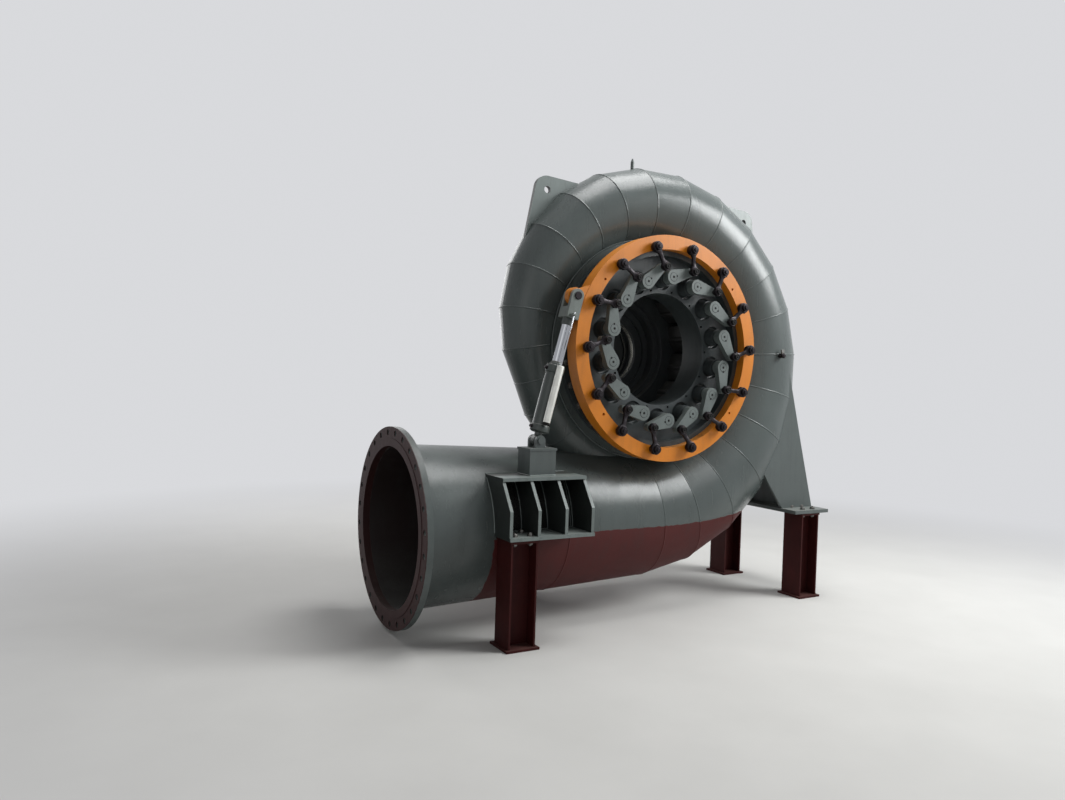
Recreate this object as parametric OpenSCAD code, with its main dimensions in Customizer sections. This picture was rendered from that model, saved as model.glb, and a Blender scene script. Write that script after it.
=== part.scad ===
// Spiral case of a horizontal-shaft Francis turbine with its guide-vane gear.
// Millimetres, +Z up. The shaft lies along Y and the operating side faces -Y.
// Water comes in along +X at the low left, runs round the case and leaves along Y.
// Angles on the gear are counted clockwise from the top, seen from the -Y side.

/* [Spiral case] */
// height of the shaft axis above the floor
axis_h = 1800; // [1790:5:1900]
// outer radius of the case section where the spiral starts, at the bottom
case_r = 443; // [436:1:450]
// plate thickness of the spiral case and of the inlet pipe
case_wall = 14; // [10:1:18]
// smallest outer section radius, at the nose end of the spiral
nose_r = 158; // [152:1:164]

/* [Inlet] */
// distance of the inlet flange face from the shaft axis along X
inlet_x = 1777; // [1760:1:1900]
// outer radius of the inlet pipe at the flange face
inlet_r = 510; // [504:1:516]
// outer radius of the inlet flange
flange_r = 615; // [610:1:622]
// thickness of the inlet flange with its raised face
flange_t = 46; // [36:1:56]
// bolt circle radius of the inlet flange
flange_bolt_r = 580; // [576:1:584]
// radius of a bolt hole in the inlet flange
flange_hole_r = 18; // [14:0.5:20]

/* [Stay ring and covers] */
// outer radius of the stay ring plates
stay_or = 758; // [752:1:764]
// thickness of one stay ring plate
stay_t = 50; // [44:1:52]
// clear width between the two stay ring plates
gate_w = 240; // [234:1:246]
// radius of the open bore in the front cover
bore_r = 380; // [372:1:386]
// depth of the front cover from the stay plate to the rim of its bore
cover_len = 160; // [150:1:170]
// radius of the pocket round each bushing boss in the face of the front cover
pocket_r = 78; // [74:1:82]
// radius of the neck at the back that holds the shaft seal
neck_r = 300; // [280:1:330]
// radius of the bore that the shaft passes through, in the neck
shaft_bore_r = 140; // [120:1:160]

/* [Guide-vane gear] */
// radius of the circle of guide-vane stems
vane_pcr = 480; // [478:0.5:482]
// stem radius of a guide vane
stem_r = 28; // [24:0.5:30]
// radius from the shaft axis to the pin at a lever's tip
tip_pcr = 545; // [543:0.5:547]
// radius from the shaft axis to the pins in the regulating ring
pin_pcr = 680; // [679:0.5:682]
// outer radius of the regulating ring
ring_or = 755; // [752:1:758]
// inner radius of the regulating ring
ring_ir = 660; // [658:0.5:662]
// thickness of the regulating ring along the shaft
ring_t = 100; // [92:1:104]
// thickness of a lever's hub along the shaft
lever_t = 50; // [44:1:54]
// width of a link between its two eyes
link_w = 30; // [24:1:36]

/* [Servomotor] */
// radius from the shaft axis to the pin in the ring's ear
ear_pcr = 820; // [818:0.5:824]
// outer radius of the servomotor barrel
barrel_r = 58; // [55:0.5:62]
// radius of the servomotor's piston rod
rod_r = 27; // [22:0.5:30]

/* [Feet and legs] */
// height of the underside of the bottom plates of the brackets
seat_h = 635; // [620:1:650]
// width of a steel section leg along X and Y
leg_w = 175; // [160:1:185]
// thickness of the ribs in the brackets
rib_t = 20; // [14:1:24]
// thickness of the plates of the right foot
foot_t = 20; // [14:1:24]

/* [Lifting] */
// thickness of a lifting lug plate
lug_t = 30; // [20:1:40]
// radius of the hole in a lifting lug
lug_hole_r = 24; // [20:1:30]

/* [Hidden] */
$fn = 96;
eps = 0.01;

// counts that the node list depends on
vane_n = 14;
vane_step = 360 / vane_n;

// Spiral. Joint i lies at the angle i * course_deg after the bottom, turning
// towards +X. Each joint holds a sphere and the courses are cones tangent to
// the spheres at both ends, so neighbours meet in one flat mitre plane.
course_deg = 15;
course_n = 23;
mouth_y = 151;
function sec_r(i) = max(nose_r, case_r * (1 - 0.123 * i / 6 - 0.026 * pow(i / 6, 2)));
function ctr_r(i) = stay_or - 7 + sqrt(pow(sec_r(i), 2) - pow(mouth_y, 2));
// joint -1 stands for the inlet flange face
function jx(i) = i < 0 ? -inlet_x : ctr_r(i) * sin(i * course_deg);
function jz(i) = i < 0 ? axis_h - ctr_r(0) : axis_h - ctr_r(i) * cos(i * course_deg);
function jr(i) = i < 0 ? inlet_r : sec_r(i);
function len_c(i) = norm([jx(i + 1) - jx(i), jz(i + 1) - jz(i)]);
function dir_c(i) = [(jx(i + 1) - jx(i)) / len_c(i), (jz(i + 1) - jz(i)) / len_c(i)];
function alpha(i) = asin((jr(i) - jr(i + 1)) / len_c(i));
// mitre plane at joint i, between course i-1 and course i
function mit_n(i) = dir_c(i - 1) / cos(alpha(i - 1)) + dir_c(i) / cos(alpha(i));
function mit_u(i) = mit_n(i) / norm(mit_n(i));
function mit_off(i) = jr(i) * (tan(alpha(i - 1)) + tan(alpha(i))) / norm(mit_n(i));
// ends of the spiral are cut square to their own course
function cut_u(i) = i < 0 ? dir_c(i) : i == course_n ? dir_c(i - 1) : mit_u(i);
function cut_o(i) = i < 0 || i == course_n ? 0 : mit_off(i);
// a point of the mitre plane at joint i, moved by g along the case
function cut_p(i, k, g) = [jx(i) + (cut_o(i) + g) * cut_u(i)[0] - k * cut_u(i)[1],
                           jz(i) + (cut_o(i) + g) * cut_u(i)[1] + k * cut_u(i)[0]];
// half the root gap that the weld between two courses fills
root_gap = 0.2;
// corner of the outer outline at joint i, in the middle plane of the spiral
function side(v) = [v[1], -v[0]];
function cor_k(i) = (jr(i) / cos(alpha(i))
                     - cut_o(i) * (cut_u(i) * side(dir_c(i)) + tan(alpha(i)) * (cut_u(i) * dir_c(i))))
                    / (side(cut_u(i)) * side(dir_c(i)) + tan(alpha(i)) * (side(cut_u(i)) * dir_c(i)));
function corner(i) = cut_p(i, -cor_k(i), 0);

// planes along the shaft, counted from the middle of the spiral
face_y = gate_w / 2;
stay_y = face_y + stay_t;
ring_y = -454;
ring_back = ring_y + ring_t;
lever_y = ring_y + 4;
lever_back = lever_y + lever_t;
rim_y = -stay_y - cover_len;
link_y = -485;
servo_y = -430;
stay_ir = 590;

// gear pins at rest, for the set at the top of the ring
tip_a = 15.9;
pin_a = 10.9;
tip_x = tip_pcr * sin(tip_a);
tip_z = tip_pcr * cos(tip_a);
pin_x = pin_pcr * sin(pin_a);
pin_z = pin_pcr * cos(pin_a);
lever_len = norm([tip_x, tip_z - vane_pcr]);
lever_dir = atan2(tip_x, tip_z - vane_pcr);
link_len = norm([tip_x - pin_x, tip_z - pin_z]);
link_dir = atan2(tip_x - pin_x, tip_z - pin_z);

// servomotor line from its base eye to the ear of the ring
ear_a = -69.3;
ear_x = ear_pcr * sin(ear_a);
ear_z = axis_h + ear_pcr * cos(ear_a);
base_x = -1000;
base_z = axis_h - 608;
servo_len = norm([ear_x - base_x, ear_z - base_z]);
servo_dir = atan2(ear_x - base_x, ear_z - base_z);
// the position sensor stands beside the barrel and in front of the ring
sensor_x = 40;
sensor_y = -86;

// feet
bracket_x = -1012;
bracket_w = 575;
bracket_y = -690;
bracket_top = axis_h - 815;
back_x = -600;
right_x = 1365;
right_y = 400;
leg_x = -1195;
leg_y = -588;
foot_l = 1190;
foot_r = 1540;

// the part is moved so that the origin is the middle of its footprint
front_y = bracket_y;
rear_y = -bracket_y;
ox = (inlet_x - foot_r) / 2;
oy = -(front_y + rear_y) / 2;

grey = [0.42, 0.46, 0.46];
light = [0.62, 0.66, 0.64];
orange = [0.89, 0.55, 0.16];
dark = [0.12, 0.11, 0.13];
maroon = [0.29, 0.10, 0.09];
steel = [0.75, 0.76, 0.78];

// a cylinder along Y from y0 to y1
module rod_y(r, y0, y1) {
    translate([0, y1, 0])
        rotate([90, 0, 0])
            cylinder(h = y1 - y0, r = r);
}

// the shape turned to the angle a on the gear, radius upwards, axis at the origin
module at_axis(a) {
    translate([ox, oy, axis_h])
        rotate([0, a, 0])
            children();
}

module placed() {
    translate([ox, oy, 0])
        children();
}

// prism between the mitre planes of course i, each set in by g
module course_wedge(i, g) {
    k0 = jr(i) + 45;
    k1 = jr(i + 1) + 45;
    rotate([90, 0, 0])
        linear_extrude(height = 1100, center = true)
            polygon([cut_p(i, -k0, g), cut_p(i, k0, g), cut_p(i + 1, k1, -g), cut_p(i + 1, -k1, -g)]);
}

// solid cone of course i, its radius made smaller by the thickness t
module course_cone(i, t) {
    e = i < 0 ? 0 : 95;
    a = alpha(i);
    translate([jx(i), 0, jz(i)])
        rotate([0, atan2(dir_c(i)[0], dir_c(i)[1]), 0])
            translate([0, 0, -e])
                cylinder(h = len_c(i) + e + 95,
                         r1 = (jr(i) - t) / cos(a) + e * tan(a),
                         r2 = (jr(i) - t) / cos(a) - (len_c(i) + 95) * tan(a));
}

// solid courses i0 to i1, to cut other plates to the outside of the case
module case_cut(i0, i1) {
    for (i = [i0:i1])
        intersection() {
            course_cone(i, 0);
            course_wedge(i, -0.02);
        }
}

module inlet_flange() {
    placed()
        color(maroon)
            translate([-inlet_x, 0, jz(0)])
                rotate([0, 90, 0])
                    difference() {
                        union() {
                            translate([0, 0, 3])
                                cylinder(h = flange_t - 3, r = flange_r);
                            cylinder(h = 4, r = flange_bolt_r - flange_hole_r - 18);
                        }
                        translate([0, 0, -1])
                            cylinder(h = flange_t + 2, r = inlet_r - case_wall);
                        for (k = [0:27])
                            rotate([0, 0, (k + 0.5) * 360 / 28])
                                translate([flange_bolt_r, 0, -1])
                                    cylinder(h = flange_t + 2, r = flange_hole_r, $fn = 48);
                    }
}

// the straight pipe ends at the plane x = pipe_end
pipe_end = -760;
module pipe_zone(x0, x1) {
    translate([x0, -800, jz(0) - 800])
        cube([x1 - x0, 1600, 1600]);
}

module inlet_pipe() {
    placed()
        color(grey)
            difference() {
                intersection() {
                    course_cone(-1, 0);
                    pipe_zone(-inlet_x + flange_t, pipe_end);
                }
                course_cone(-1, case_wall);
            }
}

// the plate of course i, open towards the stay ring
module course_plate(i) {
    difference() {
        intersection() {
            course_cone(i, 0);
            course_wedge(i, root_gap);
            if (i < 0)
                pipe_zone(pipe_end, 400);
        }
        course_cone(i, case_wall);
        translate([0, 0, axis_h])
            rod_y(stay_or + 0.3, -400, 400);
        // the nose of the spiral ends on the outside of the inlet pipe
        if (i >= 19)
            course_cone(-1, -0.3);
    }
}

// the courses that carry the water on from the inlet pipe
module spiral_inlet() {
    placed()
        color(grey)
            for (i = [-1:1])
                course_plate(i);
}

module spiral_case() {
    placed()
        color(grey)
            for (i = [2:course_n - 1])
                course_plate(i);
}

// a plate ring along Y
module ring_y_(r1, r2, y0, y1) {
    difference() {
        rod_y(r1, y0, y1);
        rod_y(r2, y0 - 1, y1 + 1);
    }
}

module stay_ring() {
    at_axis(0)
        color(grey) {
            ring_y_(stay_or, stay_ir, -stay_y, -face_y);
            ring_y_(stay_or, stay_ir, face_y, stay_y);
            // stay vanes, slanted with the swirl
            for (k = [0:11])
                rotate([0, k * 30 + 12, 0])
                    translate([0, 0, 672])
                        rotate([90, 0, 0])
                            linear_extrude(height = gate_w + 2, center = true)
                                rotate(28)
                                    polygon([[-62, 0], [-48, 10], [-18, 14], [20, 12], [62, 1],
                                             [62, -3], [20, -10], [-18, -14], [-48, -10]]);
        }
}

// 14 bushing bosses on the circle of the stems
module bosses(y0, y1, r) {
    for (k = [0:vane_n - 1])
        rotate([0, k * vane_step, 0])
            translate([0, 0, vane_pcr])
                rod_y(r, y0, y1);
}

module front_cover() {
    at_axis(0)
        color(grey)
            difference() {
                union() {
                    rod_y(stay_ir - 0.5, -stay_y - 10, -face_y);
                    rod_y(705, -stay_y - 36, -stay_y);
                    // track that carries the regulating ring
                    ring_y_(ring_ir - 0.4, ring_ir - 34, ring_back - 36, -stay_y - 30);
                    // face between the bore and the track, with a pocket round each boss
                    difference() {
                        rod_y(ring_ir - 33, rim_y, -stay_y - 1);
                        bosses(rim_y - 1, -stay_y - 50, pocket_r);
                    }
                    bosses(lever_back + 12, -stay_y, stem_r + 27);
                }
                rod_y(bore_r, -700, 0);
                bosses(-700, 0, stem_r + 0.05);
                // tapped holes round the bore, at the feet of the webs between the pockets
                for (k = [0:vane_n - 1])
                    rotate([0, (k + 0.5) * vane_step, 0])
                        translate([0, 0, bore_r + 22])
                            rod_y(8.5, rim_y - 1, rim_y + 45, $fn = 32);
            }
}

module rear_cover() {
    at_axis(0)
        color(grey)
            difference() {
                union() {
                    rod_y(stay_ir - 0.5, face_y, stay_y + 10);
                    rod_y(705, stay_y, stay_y + 36);
                    rod_y(vane_pcr + 58, stay_y, stay_y + 60);
                    rod_y(bore_r + 60, stay_y, stay_y + 150);
                    // neck that holds the shaft seal
                    rod_y(neck_r, stay_y + 140, stay_y + 280);
                }
                rod_y(bore_r, 0, stay_y);
                rod_y(bore_r - 35, 0, stay_y + 80);
                rod_y(bore_r - 80, 0, stay_y + 96);
                // two turned lands with a groove between them
                rod_y(240, 0, stay_y + 170);
                rod_y(250, stay_y + 170, stay_y + 205);
                rod_y(236, stay_y + 204, stay_y + 245);
                rod_y(shaft_bore_r, 0, stay_y + 281);
                bosses(0, face_y + 75, stem_r + 0.05);
                // bolt holes for the shaft bearing's bracket
                for (k = [0:11])
                    rotate([0, (k + 0.5) * 30, 0])
                        translate([0, 0, bore_r + 30])
                            rod_y(11, stay_y + 100, stay_y + 151, $fn = 32);
            }
}

module regulating_ring() {
    at_axis(0)
        color(orange) {
            difference() {
                union() {
                    rod_y(ring_or, ring_y, ring_back);
                    // ear for the servomotor
                    rotate([0, ear_a, 0]) {
                        translate([0, 0, ear_pcr])
                            rod_y(54, servo_y - 22, servo_y + 22);
                        translate([0, servo_y, 0])
                            rotate([90, 0, 0])
                                linear_extrude(height = 44, center = true)
                                    polygon([[-78, 735], [-44, ear_pcr], [46, ear_pcr], [120, 735]]);
                    }
                }
                rod_y(ring_ir, ring_y - 1, ring_back + 1);
                rotate([0, ear_a, 0])
                    translate([0, 0, ear_pcr])
                        rod_y(22.6, servo_y - 40, servo_y + 40);
                // four tapped holes for lifting and clamping
                for (a = [-130, -53, 50, 128])
                    rotate([0, a, 0])
                        translate([0, 0, 688])
                            rod_y(9, ring_y - 1, ring_y + 30, $fn = 32);
            }
            for (k = [0:vane_n - 1])
                rotate([0, k * vane_step + pin_a, 0])
                    translate([0, 0, pin_pcr]) {
                        rod_y(24, ring_y - 8, ring_y + 1);
                        rod_y(12, link_y - 25, ring_y + 1);
                        rod_y(20, link_y - 34, link_y - 23.5);
                    }
        }
}

// profile of a guide vane, nose towards +X
module vane_profile() {
    polygon([[96, 0], [94, 5], [88, 9], [76, 13], [58, 17], [36, 19.5], [10, 20], [-20, 17.5],
             [-50, 13], [-80, 7.5], [-102, 2.5], [-104, 0], [-102, -2.5], [-80, -7.5], [-50, -13],
             [-20, -17.5], [10, -20], [36, -19.5], [58, -17], [76, -13], [88, -9], [94, -5]]);
}

module guide_vane(k) {
    at_axis((k - 1) * vane_step)
        translate([0, 0, vane_pcr])
            color(light)
                difference() {
                    union() {
                        // blade, 6 mm clear of both covers
                        rotate([90, 0, 0])
                            linear_extrude(height = gate_w - 12, center = true)
                                rotate(8)
                                    vane_profile();
                        rod_y(stem_r, lever_y - 6, face_y + 68);
                        // lever clamped on the stem
                        rod_y(48, lever_y, lever_back);
                        rotate([0, lever_dir, 0]) {
                            translate([0, lever_y + 18, 0])
                                rotate([90, 0, 0])
                                    linear_extrude(height = 28, center = true)
                                        polygon([[-38, 5], [-20, lever_len], [20, lever_len],
                                                 [38, 5]]);
                            translate([0, 0, lever_len]) {
                                rod_y(26, lever_y, lever_y + 32);
                                rod_y(17, lever_y - 12, lever_y + 1);
                                rod_y(10.5, link_y - 22, lever_y + 1);
                                rod_y(20, link_y - 29, link_y - 20.5);
                            }
                        }
                    }
                    // tapped hole in the end of the stem
                    rod_y(8, lever_y - 7, lever_y + 20);
                }
}

module link(k) {
    at_axis((k - 1) * vane_step)
        translate([pin_x, 0, pin_z])
            rotate([0, link_dir, 0])
                color(dark)
                    difference() {
                        union() {
                            rod_y(30, link_y - 18, link_y + 18);
                            translate([0, 0, link_len])
                                rod_y(27, link_y - 15, link_y + 15);
                            translate([-link_w / 2, link_y - 10, 0])
                                cube([link_w, 20, link_len]);
                        }
                        rod_y(12.05, link_y - 40, link_y + 40);
                        translate([0, 0, link_len])
                            rod_y(15.6, link_y - 40, link_y + 40);
                    }
}

// the shape in the frame of the servomotor, base eye at the origin, line upwards
module at_servo() {
    translate([ox + base_x, oy + servo_y, base_z])
        rotate([0, servo_dir, 0])
            children();
}

module servo_cylinder() {
    at_servo()
        color(grey)
            difference() {
                union() {
                    rod_y(34, -25, 25);
                    translate([-25, -25, 0])
                        cube([50, 50, 60]);
                    translate([-68, -68, 45])
                        cube([136, 136, 36]);
                    cylinder(h = 440, r = barrel_r);
                    translate([-68, -68, 440])
                        cube([136, 136, 36]);
                }
                rotate([90, 0, 0])
                    cylinder(h = 200, r = 20.05, center = true);
                difference() {
                    translate([-200, -200, -100])
                        cube([400, 400, 145]);
                    union() {
                        rod_y(34, -25, 25);
                        translate([-25, -25, 0])
                            cube([50, 50, 60]);
                    }
                }
                translate([0, 0, 81])
                    cylinder(h = 359, r = barrel_r - 8);
                translate([0, 0, 400])
                    cylinder(h = 200, r = rod_r + 0.05);
            }
}

module servo_rod() {
    at_servo()
        color(steel)
            difference() {
                union() {
                    translate([0, 0, 370])
                        cylinder(h = 420, r = rod_r);
                    translate([0, 0, 376])
                        cylinder(h = 40, r = barrel_r - 8.05);
                    // fork round the ear of the ring
                    translate([-42, -52, 782])
                        cube([84, 104, servo_len - 782]);
                    translate([0, 0, servo_len])
                        rod_y(42, -52, 52);
                }
                translate([-60, -28, 850])
                    cube([120, 56, 300]);
            }
    at_servo()
        color(steel)
            translate([0, 0, servo_len])
                rod_y(20, -60, 60);
    // bracket and thin rod of the position sensor
    at_servo()
        color(steel) {
            translate([sensor_x - 12, sensor_y - 12, 790])
                cube([24, -sensor_y - 39, 14]);
            translate([sensor_x, sensor_y, 330])
                cylinder(h = 468, r = 6);
        }
}

module position_sensor() {
    at_servo()
        color(light)
            difference() {
                union() {
                    translate([sensor_x, sensor_y, 52])
                        cylinder(h = 414, r = 16);
                    // brackets on the end blocks of the barrel
                    for (z = [56, 446])
                        translate([sensor_x - 10, sensor_y, z])
                            cube([20, -sensor_y - 68, 16]);
                }
                translate([sensor_x, sensor_y, 110])
                    cylinder(h = 400, r = 9);
            }
}

module servo_pedestal() {
    placed()
        color(grey) {
            translate([base_x - 90, servo_y - 85, bracket_top])
                cube([180, 150, base_z - 42 - bracket_top - 14]);
            translate([base_x - 95, servo_y - 90, base_z - 56])
                cube([190, 160, 14]);
            for (s = [-1, 1]) {
                translate([base_x - 34, servo_y + s * 40 - 10, base_z - 42])
                    cube([68, 20, 42]);
                translate([base_x, servo_y + s * 40, base_z])
                    rod_y(34, -10, 10);
            }
            translate([base_x, servo_y, base_z])
                rod_y(20, -58, 58);
        }
}

// rib in the Y-Z plane, front edge upright at the bottom and sloping back above
module rib(x, s) {
    translate([x - rib_t / 2, 0, 0])
        rotate([90, 0, 90])
            linear_extrude(height = rib_t)
                polygon([[0, seat_h + 20], [s * (bracket_y + 10), seat_h + 20],
                         [s * (bracket_y + 10), seat_h + (bracket_top - seat_h) * 17 / 35],
                         [s * (bracket_y + 120), bracket_top - 20], [0, bracket_top - 20]]);
}

module bracket_plates(x, w, s) {
    translate([x - w / 2, s > 0 ? bracket_y : 0, seat_h])
        cube([w, -bracket_y, 20]);
    translate([x - w / 2, s > 0 ? bracket_y + 110 : 0, bracket_top - 20])
        cube([w, -bracket_y - 110, 20]);
}

module servo_bracket() {
    placed()
        color(grey)
            difference() {
                union() {
                    bracket_plates(bracket_x, bracket_w, 1);
                    for (k = [0:3])
                        rib(bracket_x - bracket_w / 2 + 10 + k * (bracket_w - 20) / 3, 1);
                }
                course_cone(-1, 0);
            }
}

module rear_bracket() {
    placed()
        color(grey)
            difference() {
                union() {
                    bracket_plates(back_x, 260, -1);
                    for (k = [-1, 1])
                        rib(back_x + k * 110, -1);
                }
                course_cone(-1, 0);
            }
}

module right_foot() {
    placed()
        color(grey)
            difference() {
                union() {
                    translate([foot_l, -500, seat_h])
                        cube([foot_r - foot_l, 1000, 25]);
                    for (s = [-1, 1])
                        translate([0, s * 343, 0])
                            rotate([90, 0, 0])
                                linear_extrude(height = foot_t, center = true)
                                    polygon([[foot_l + 15, seat_h + 25], [foot_r - 15, seat_h + 25],
                                             [1375, axis_h - 625], [1230, axis_h - 110],
                                             [1110, axis_h - 110], [1000, axis_h - 870]]);
                    translate([right_x - foot_t / 2, -335, seat_h + 25])
                        cube([foot_t, 670, 480]);
                }
                case_cut(2, 6);
            }
}

// rolled H-section leg with its base plate and head plate, centre at x, y
module leg(x, y) {
    w = leg_w;
    translate([x, y, 0]) {
        translate([-w / 2 - 20, -w / 2 - 20, 0])
            cube([w + 40, w + 40, 14]);
        translate([-w / 2 - 5, -w / 2 - 5, seat_h - 16])
            cube([w + 10, w + 10, 16]);
        for (s = [-1, 1])
            translate([s * (w / 2 - 5.5) - 5.5, -w / 2, 13])
                cube([11, w, seat_h - 28]);
        translate([-w / 2 + 5, -4, 13])
            cube([w - 10, 8, seat_h - 28]);
    }
}

module legs() {
    placed()
        color(maroon) {
            leg(leg_x, leg_y);
            leg(back_x, -leg_y);
            leg(right_x, -right_y);
            leg(right_x, right_y);
        }
}

// a lug in the middle plane of the spiral, its lower edge following the courses
module lug(px, pz, pts) {
    rotate([90, 0, 0])
        linear_extrude(height = lug_t, center = true)
            difference() {
                union() {
                    polygon(pts);
                    translate([px, pz])
                        circle(r = 92);
                }
                translate([px, pz])
                    circle(r = lug_hole_r);
                polygon(concat([[0, axis_h]], [for (i = [7:17]) corner(i)]));
            }
}

module lifting_lugs() {
    placed()
        color(grey) {
            lug(-741, axis_h + 1036,
                [[-833, axis_h + 1042], [-905, axis_h + 660], [-400, axis_h + 900],
                 [-500, axis_h + 1112], [-736, axis_h + 1128]]);
            lug(1030, axis_h + 1040,
                [[1122, axis_h + 1046], [1150, axis_h + 760], [700, axis_h + 900],
                 [740, axis_h + 1150], [1025, axis_h + 1132]]);
        }
}

module air_vent() {
    placed()
        color(grey)
            translate([corner(12)[0], 0, corner(12)[1] + 0.3]) {
                cylinder(h = 50, r = 13);
                translate([0, 0, 50])
                    cylinder(h = 26, r1 = 13, r2 = 4);
            }
}

module drain_cock() {
    placed()
        color(dark)
            difference() {
                translate([0, 0, axis_h])
                    rotate([0, 90, 0])
                        translate([0, -200, ctr_r(6) + 250]) {
                            cylinder(h = 130, r = 12);
                            translate([0, 0, 100])
                                cylinder(h = 22, r = 20);
                        }
                case_cut(5, 6);
            }
}

module guide_vane_01() {
    guide_vane(1);
}
module guide_vane_02() {
    guide_vane(2);
}
module guide_vane_03() {
    guide_vane(3);
}
module guide_vane_04() {
    guide_vane(4);
}
module guide_vane_05() {
    guide_vane(5);
}
module guide_vane_06() {
    guide_vane(6);
}
module guide_vane_07() {
    guide_vane(7);
}
module guide_vane_08() {
    guide_vane(8);
}
module guide_vane_09() {
    guide_vane(9);
}
module guide_vane_10() {
    guide_vane(10);
}
module guide_vane_11() {
    guide_vane(11);
}
module guide_vane_12() {
    guide_vane(12);
}
module guide_vane_13() {
    guide_vane(13);
}
module guide_vane_14() {
    guide_vane(14);
}
module link_01() {
    link(1);
}
module link_02() {
    link(2);
}
module link_03() {
    link(3);
}
module link_04() {
    link(4);
}
module link_05() {
    link(5);
}
module link_06() {
    link(6);
}
module link_07() {
    link(7);
}
module link_08() {
    link(8);
}
module link_09() {
    link(9);
}
module link_10() {
    link(10);
}
module link_11() {
    link(11);
}
module link_12() {
    link(12);
}
module link_13() {
    link(13);
}
module link_14() {
    link(14);
}

inlet_flange();
inlet_pipe();
spiral_inlet();
spiral_case();
stay_ring();
front_cover();
rear_cover();
regulating_ring();
servo_bracket();
servo_pedestal();
servo_cylinder();
servo_rod();
position_sensor();
rear_bracket();
right_foot();
legs();
lifting_lugs();
air_vent();
drain_cock();
guide_vane_01();
guide_vane_02();
guide_vane_03();
guide_vane_04();
guide_vane_05();
guide_vane_06();
guide_vane_07();
guide_vane_08();
guide_vane_09();
guide_vane_10();
guide_vane_11();
guide_vane_12();
guide_vane_13();
guide_vane_14();
link_01();
link_02();
link_03();
link_04();
link_05();
link_06();
link_07();
link_08();
link_09();
link_10();
link_11();
link_12();
link_13();
link_14();
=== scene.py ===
# %% [markdown]
# # A spiral case with its guide-vane gear, dressed for the camera
#
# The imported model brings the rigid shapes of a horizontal-shaft Francis turbine:
# a welded spiral case, two covers, an orange regulating ring, fourteen guide-vane
# levers with their links, a servomotor and the feet. This script adds what a
# plain solid doesn't have: paint with its wear, weld beads, bolts, rounded levers
# and forged links. Z points up and lengths are metres, but small outlines are
# drawn in millimetres.

# %% Load the rigid frame
import math

import bmesh
import bpy
from mathutils import Matrix, Vector


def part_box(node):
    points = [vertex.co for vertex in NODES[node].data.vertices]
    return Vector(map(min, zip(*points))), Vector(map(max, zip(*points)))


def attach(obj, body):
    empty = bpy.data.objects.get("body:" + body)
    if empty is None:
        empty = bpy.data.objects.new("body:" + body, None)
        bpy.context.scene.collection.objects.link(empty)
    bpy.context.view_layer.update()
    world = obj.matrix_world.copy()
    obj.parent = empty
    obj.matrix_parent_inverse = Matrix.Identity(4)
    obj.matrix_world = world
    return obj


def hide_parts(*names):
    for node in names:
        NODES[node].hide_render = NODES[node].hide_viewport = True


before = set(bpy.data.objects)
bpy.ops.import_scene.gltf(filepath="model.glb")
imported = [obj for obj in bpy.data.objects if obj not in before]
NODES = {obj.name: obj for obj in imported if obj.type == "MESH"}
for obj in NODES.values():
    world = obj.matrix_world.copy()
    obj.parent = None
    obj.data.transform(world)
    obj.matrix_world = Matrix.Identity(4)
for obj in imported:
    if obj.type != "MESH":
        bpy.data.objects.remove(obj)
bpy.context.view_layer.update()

MM = 0.001
cover_low, cover_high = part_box("front_cover")
AXIS_X = (cover_low.x + cover_high.x) / 2
AXIS_Z = (cover_low.z + cover_high.z) / 2
print("nodes", len(NODES), "shaft axis at x %.4f z %.4f" % (AXIS_X, AXIS_Z))

# %% [markdown]
# ## The camera
#
# The camera stands where the photograph was taken: at eye height on the operating
# side, to the left, turned towards the shaft. Its place and lens were worked out
# from circles of known size on the turbine, so no guess by eye is needed. It is
# turned in three steps, as on a tripod.

# %% Camera at the photograph's place
IMAGE_W, SENSOR_W = 1065, 36
FOCAL_PX = 800.0
YAW, PITCH, ROLL = math.radians(29.63), math.radians(1.11), math.radians(1.90)
EYE = Vector((AXIS_X - 3.44, -4.653, 1.532))
# it looks along +Y, turned to +X by yaw and down by pitch, then rolled
camera_turn = (Matrix.Rotation(-YAW, 4, "Z") @ Matrix.Rotation(math.pi / 2 - PITCH, 4, "X")
               @ Matrix.Rotation(ROLL, 4, "Z"))
camera_data = bpy.data.cameras.new("photo_camera")
camera_data.sensor_width = SENSOR_W
camera_data.lens = SENSOR_W * FOCAL_PX / IMAGE_W
camera_data.clip_end = 200
camera = bpy.data.objects.new("photo_camera", camera_data)
camera.matrix_world = Matrix.Translation(EYE) @ camera_turn
bpy.context.scene.collection.objects.link(camera)
bpy.context.scene.camera = camera
print("lens %.2f mm" % camera_data.lens)

# %% [markdown]
# ## Node trees
#
# Shaders and geometry are both built as node trees. A small class gives short
# names to the nodes used here, so that the masks below read like formulas. Effects
# that several finishes share are node groups with named inputs.

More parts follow.
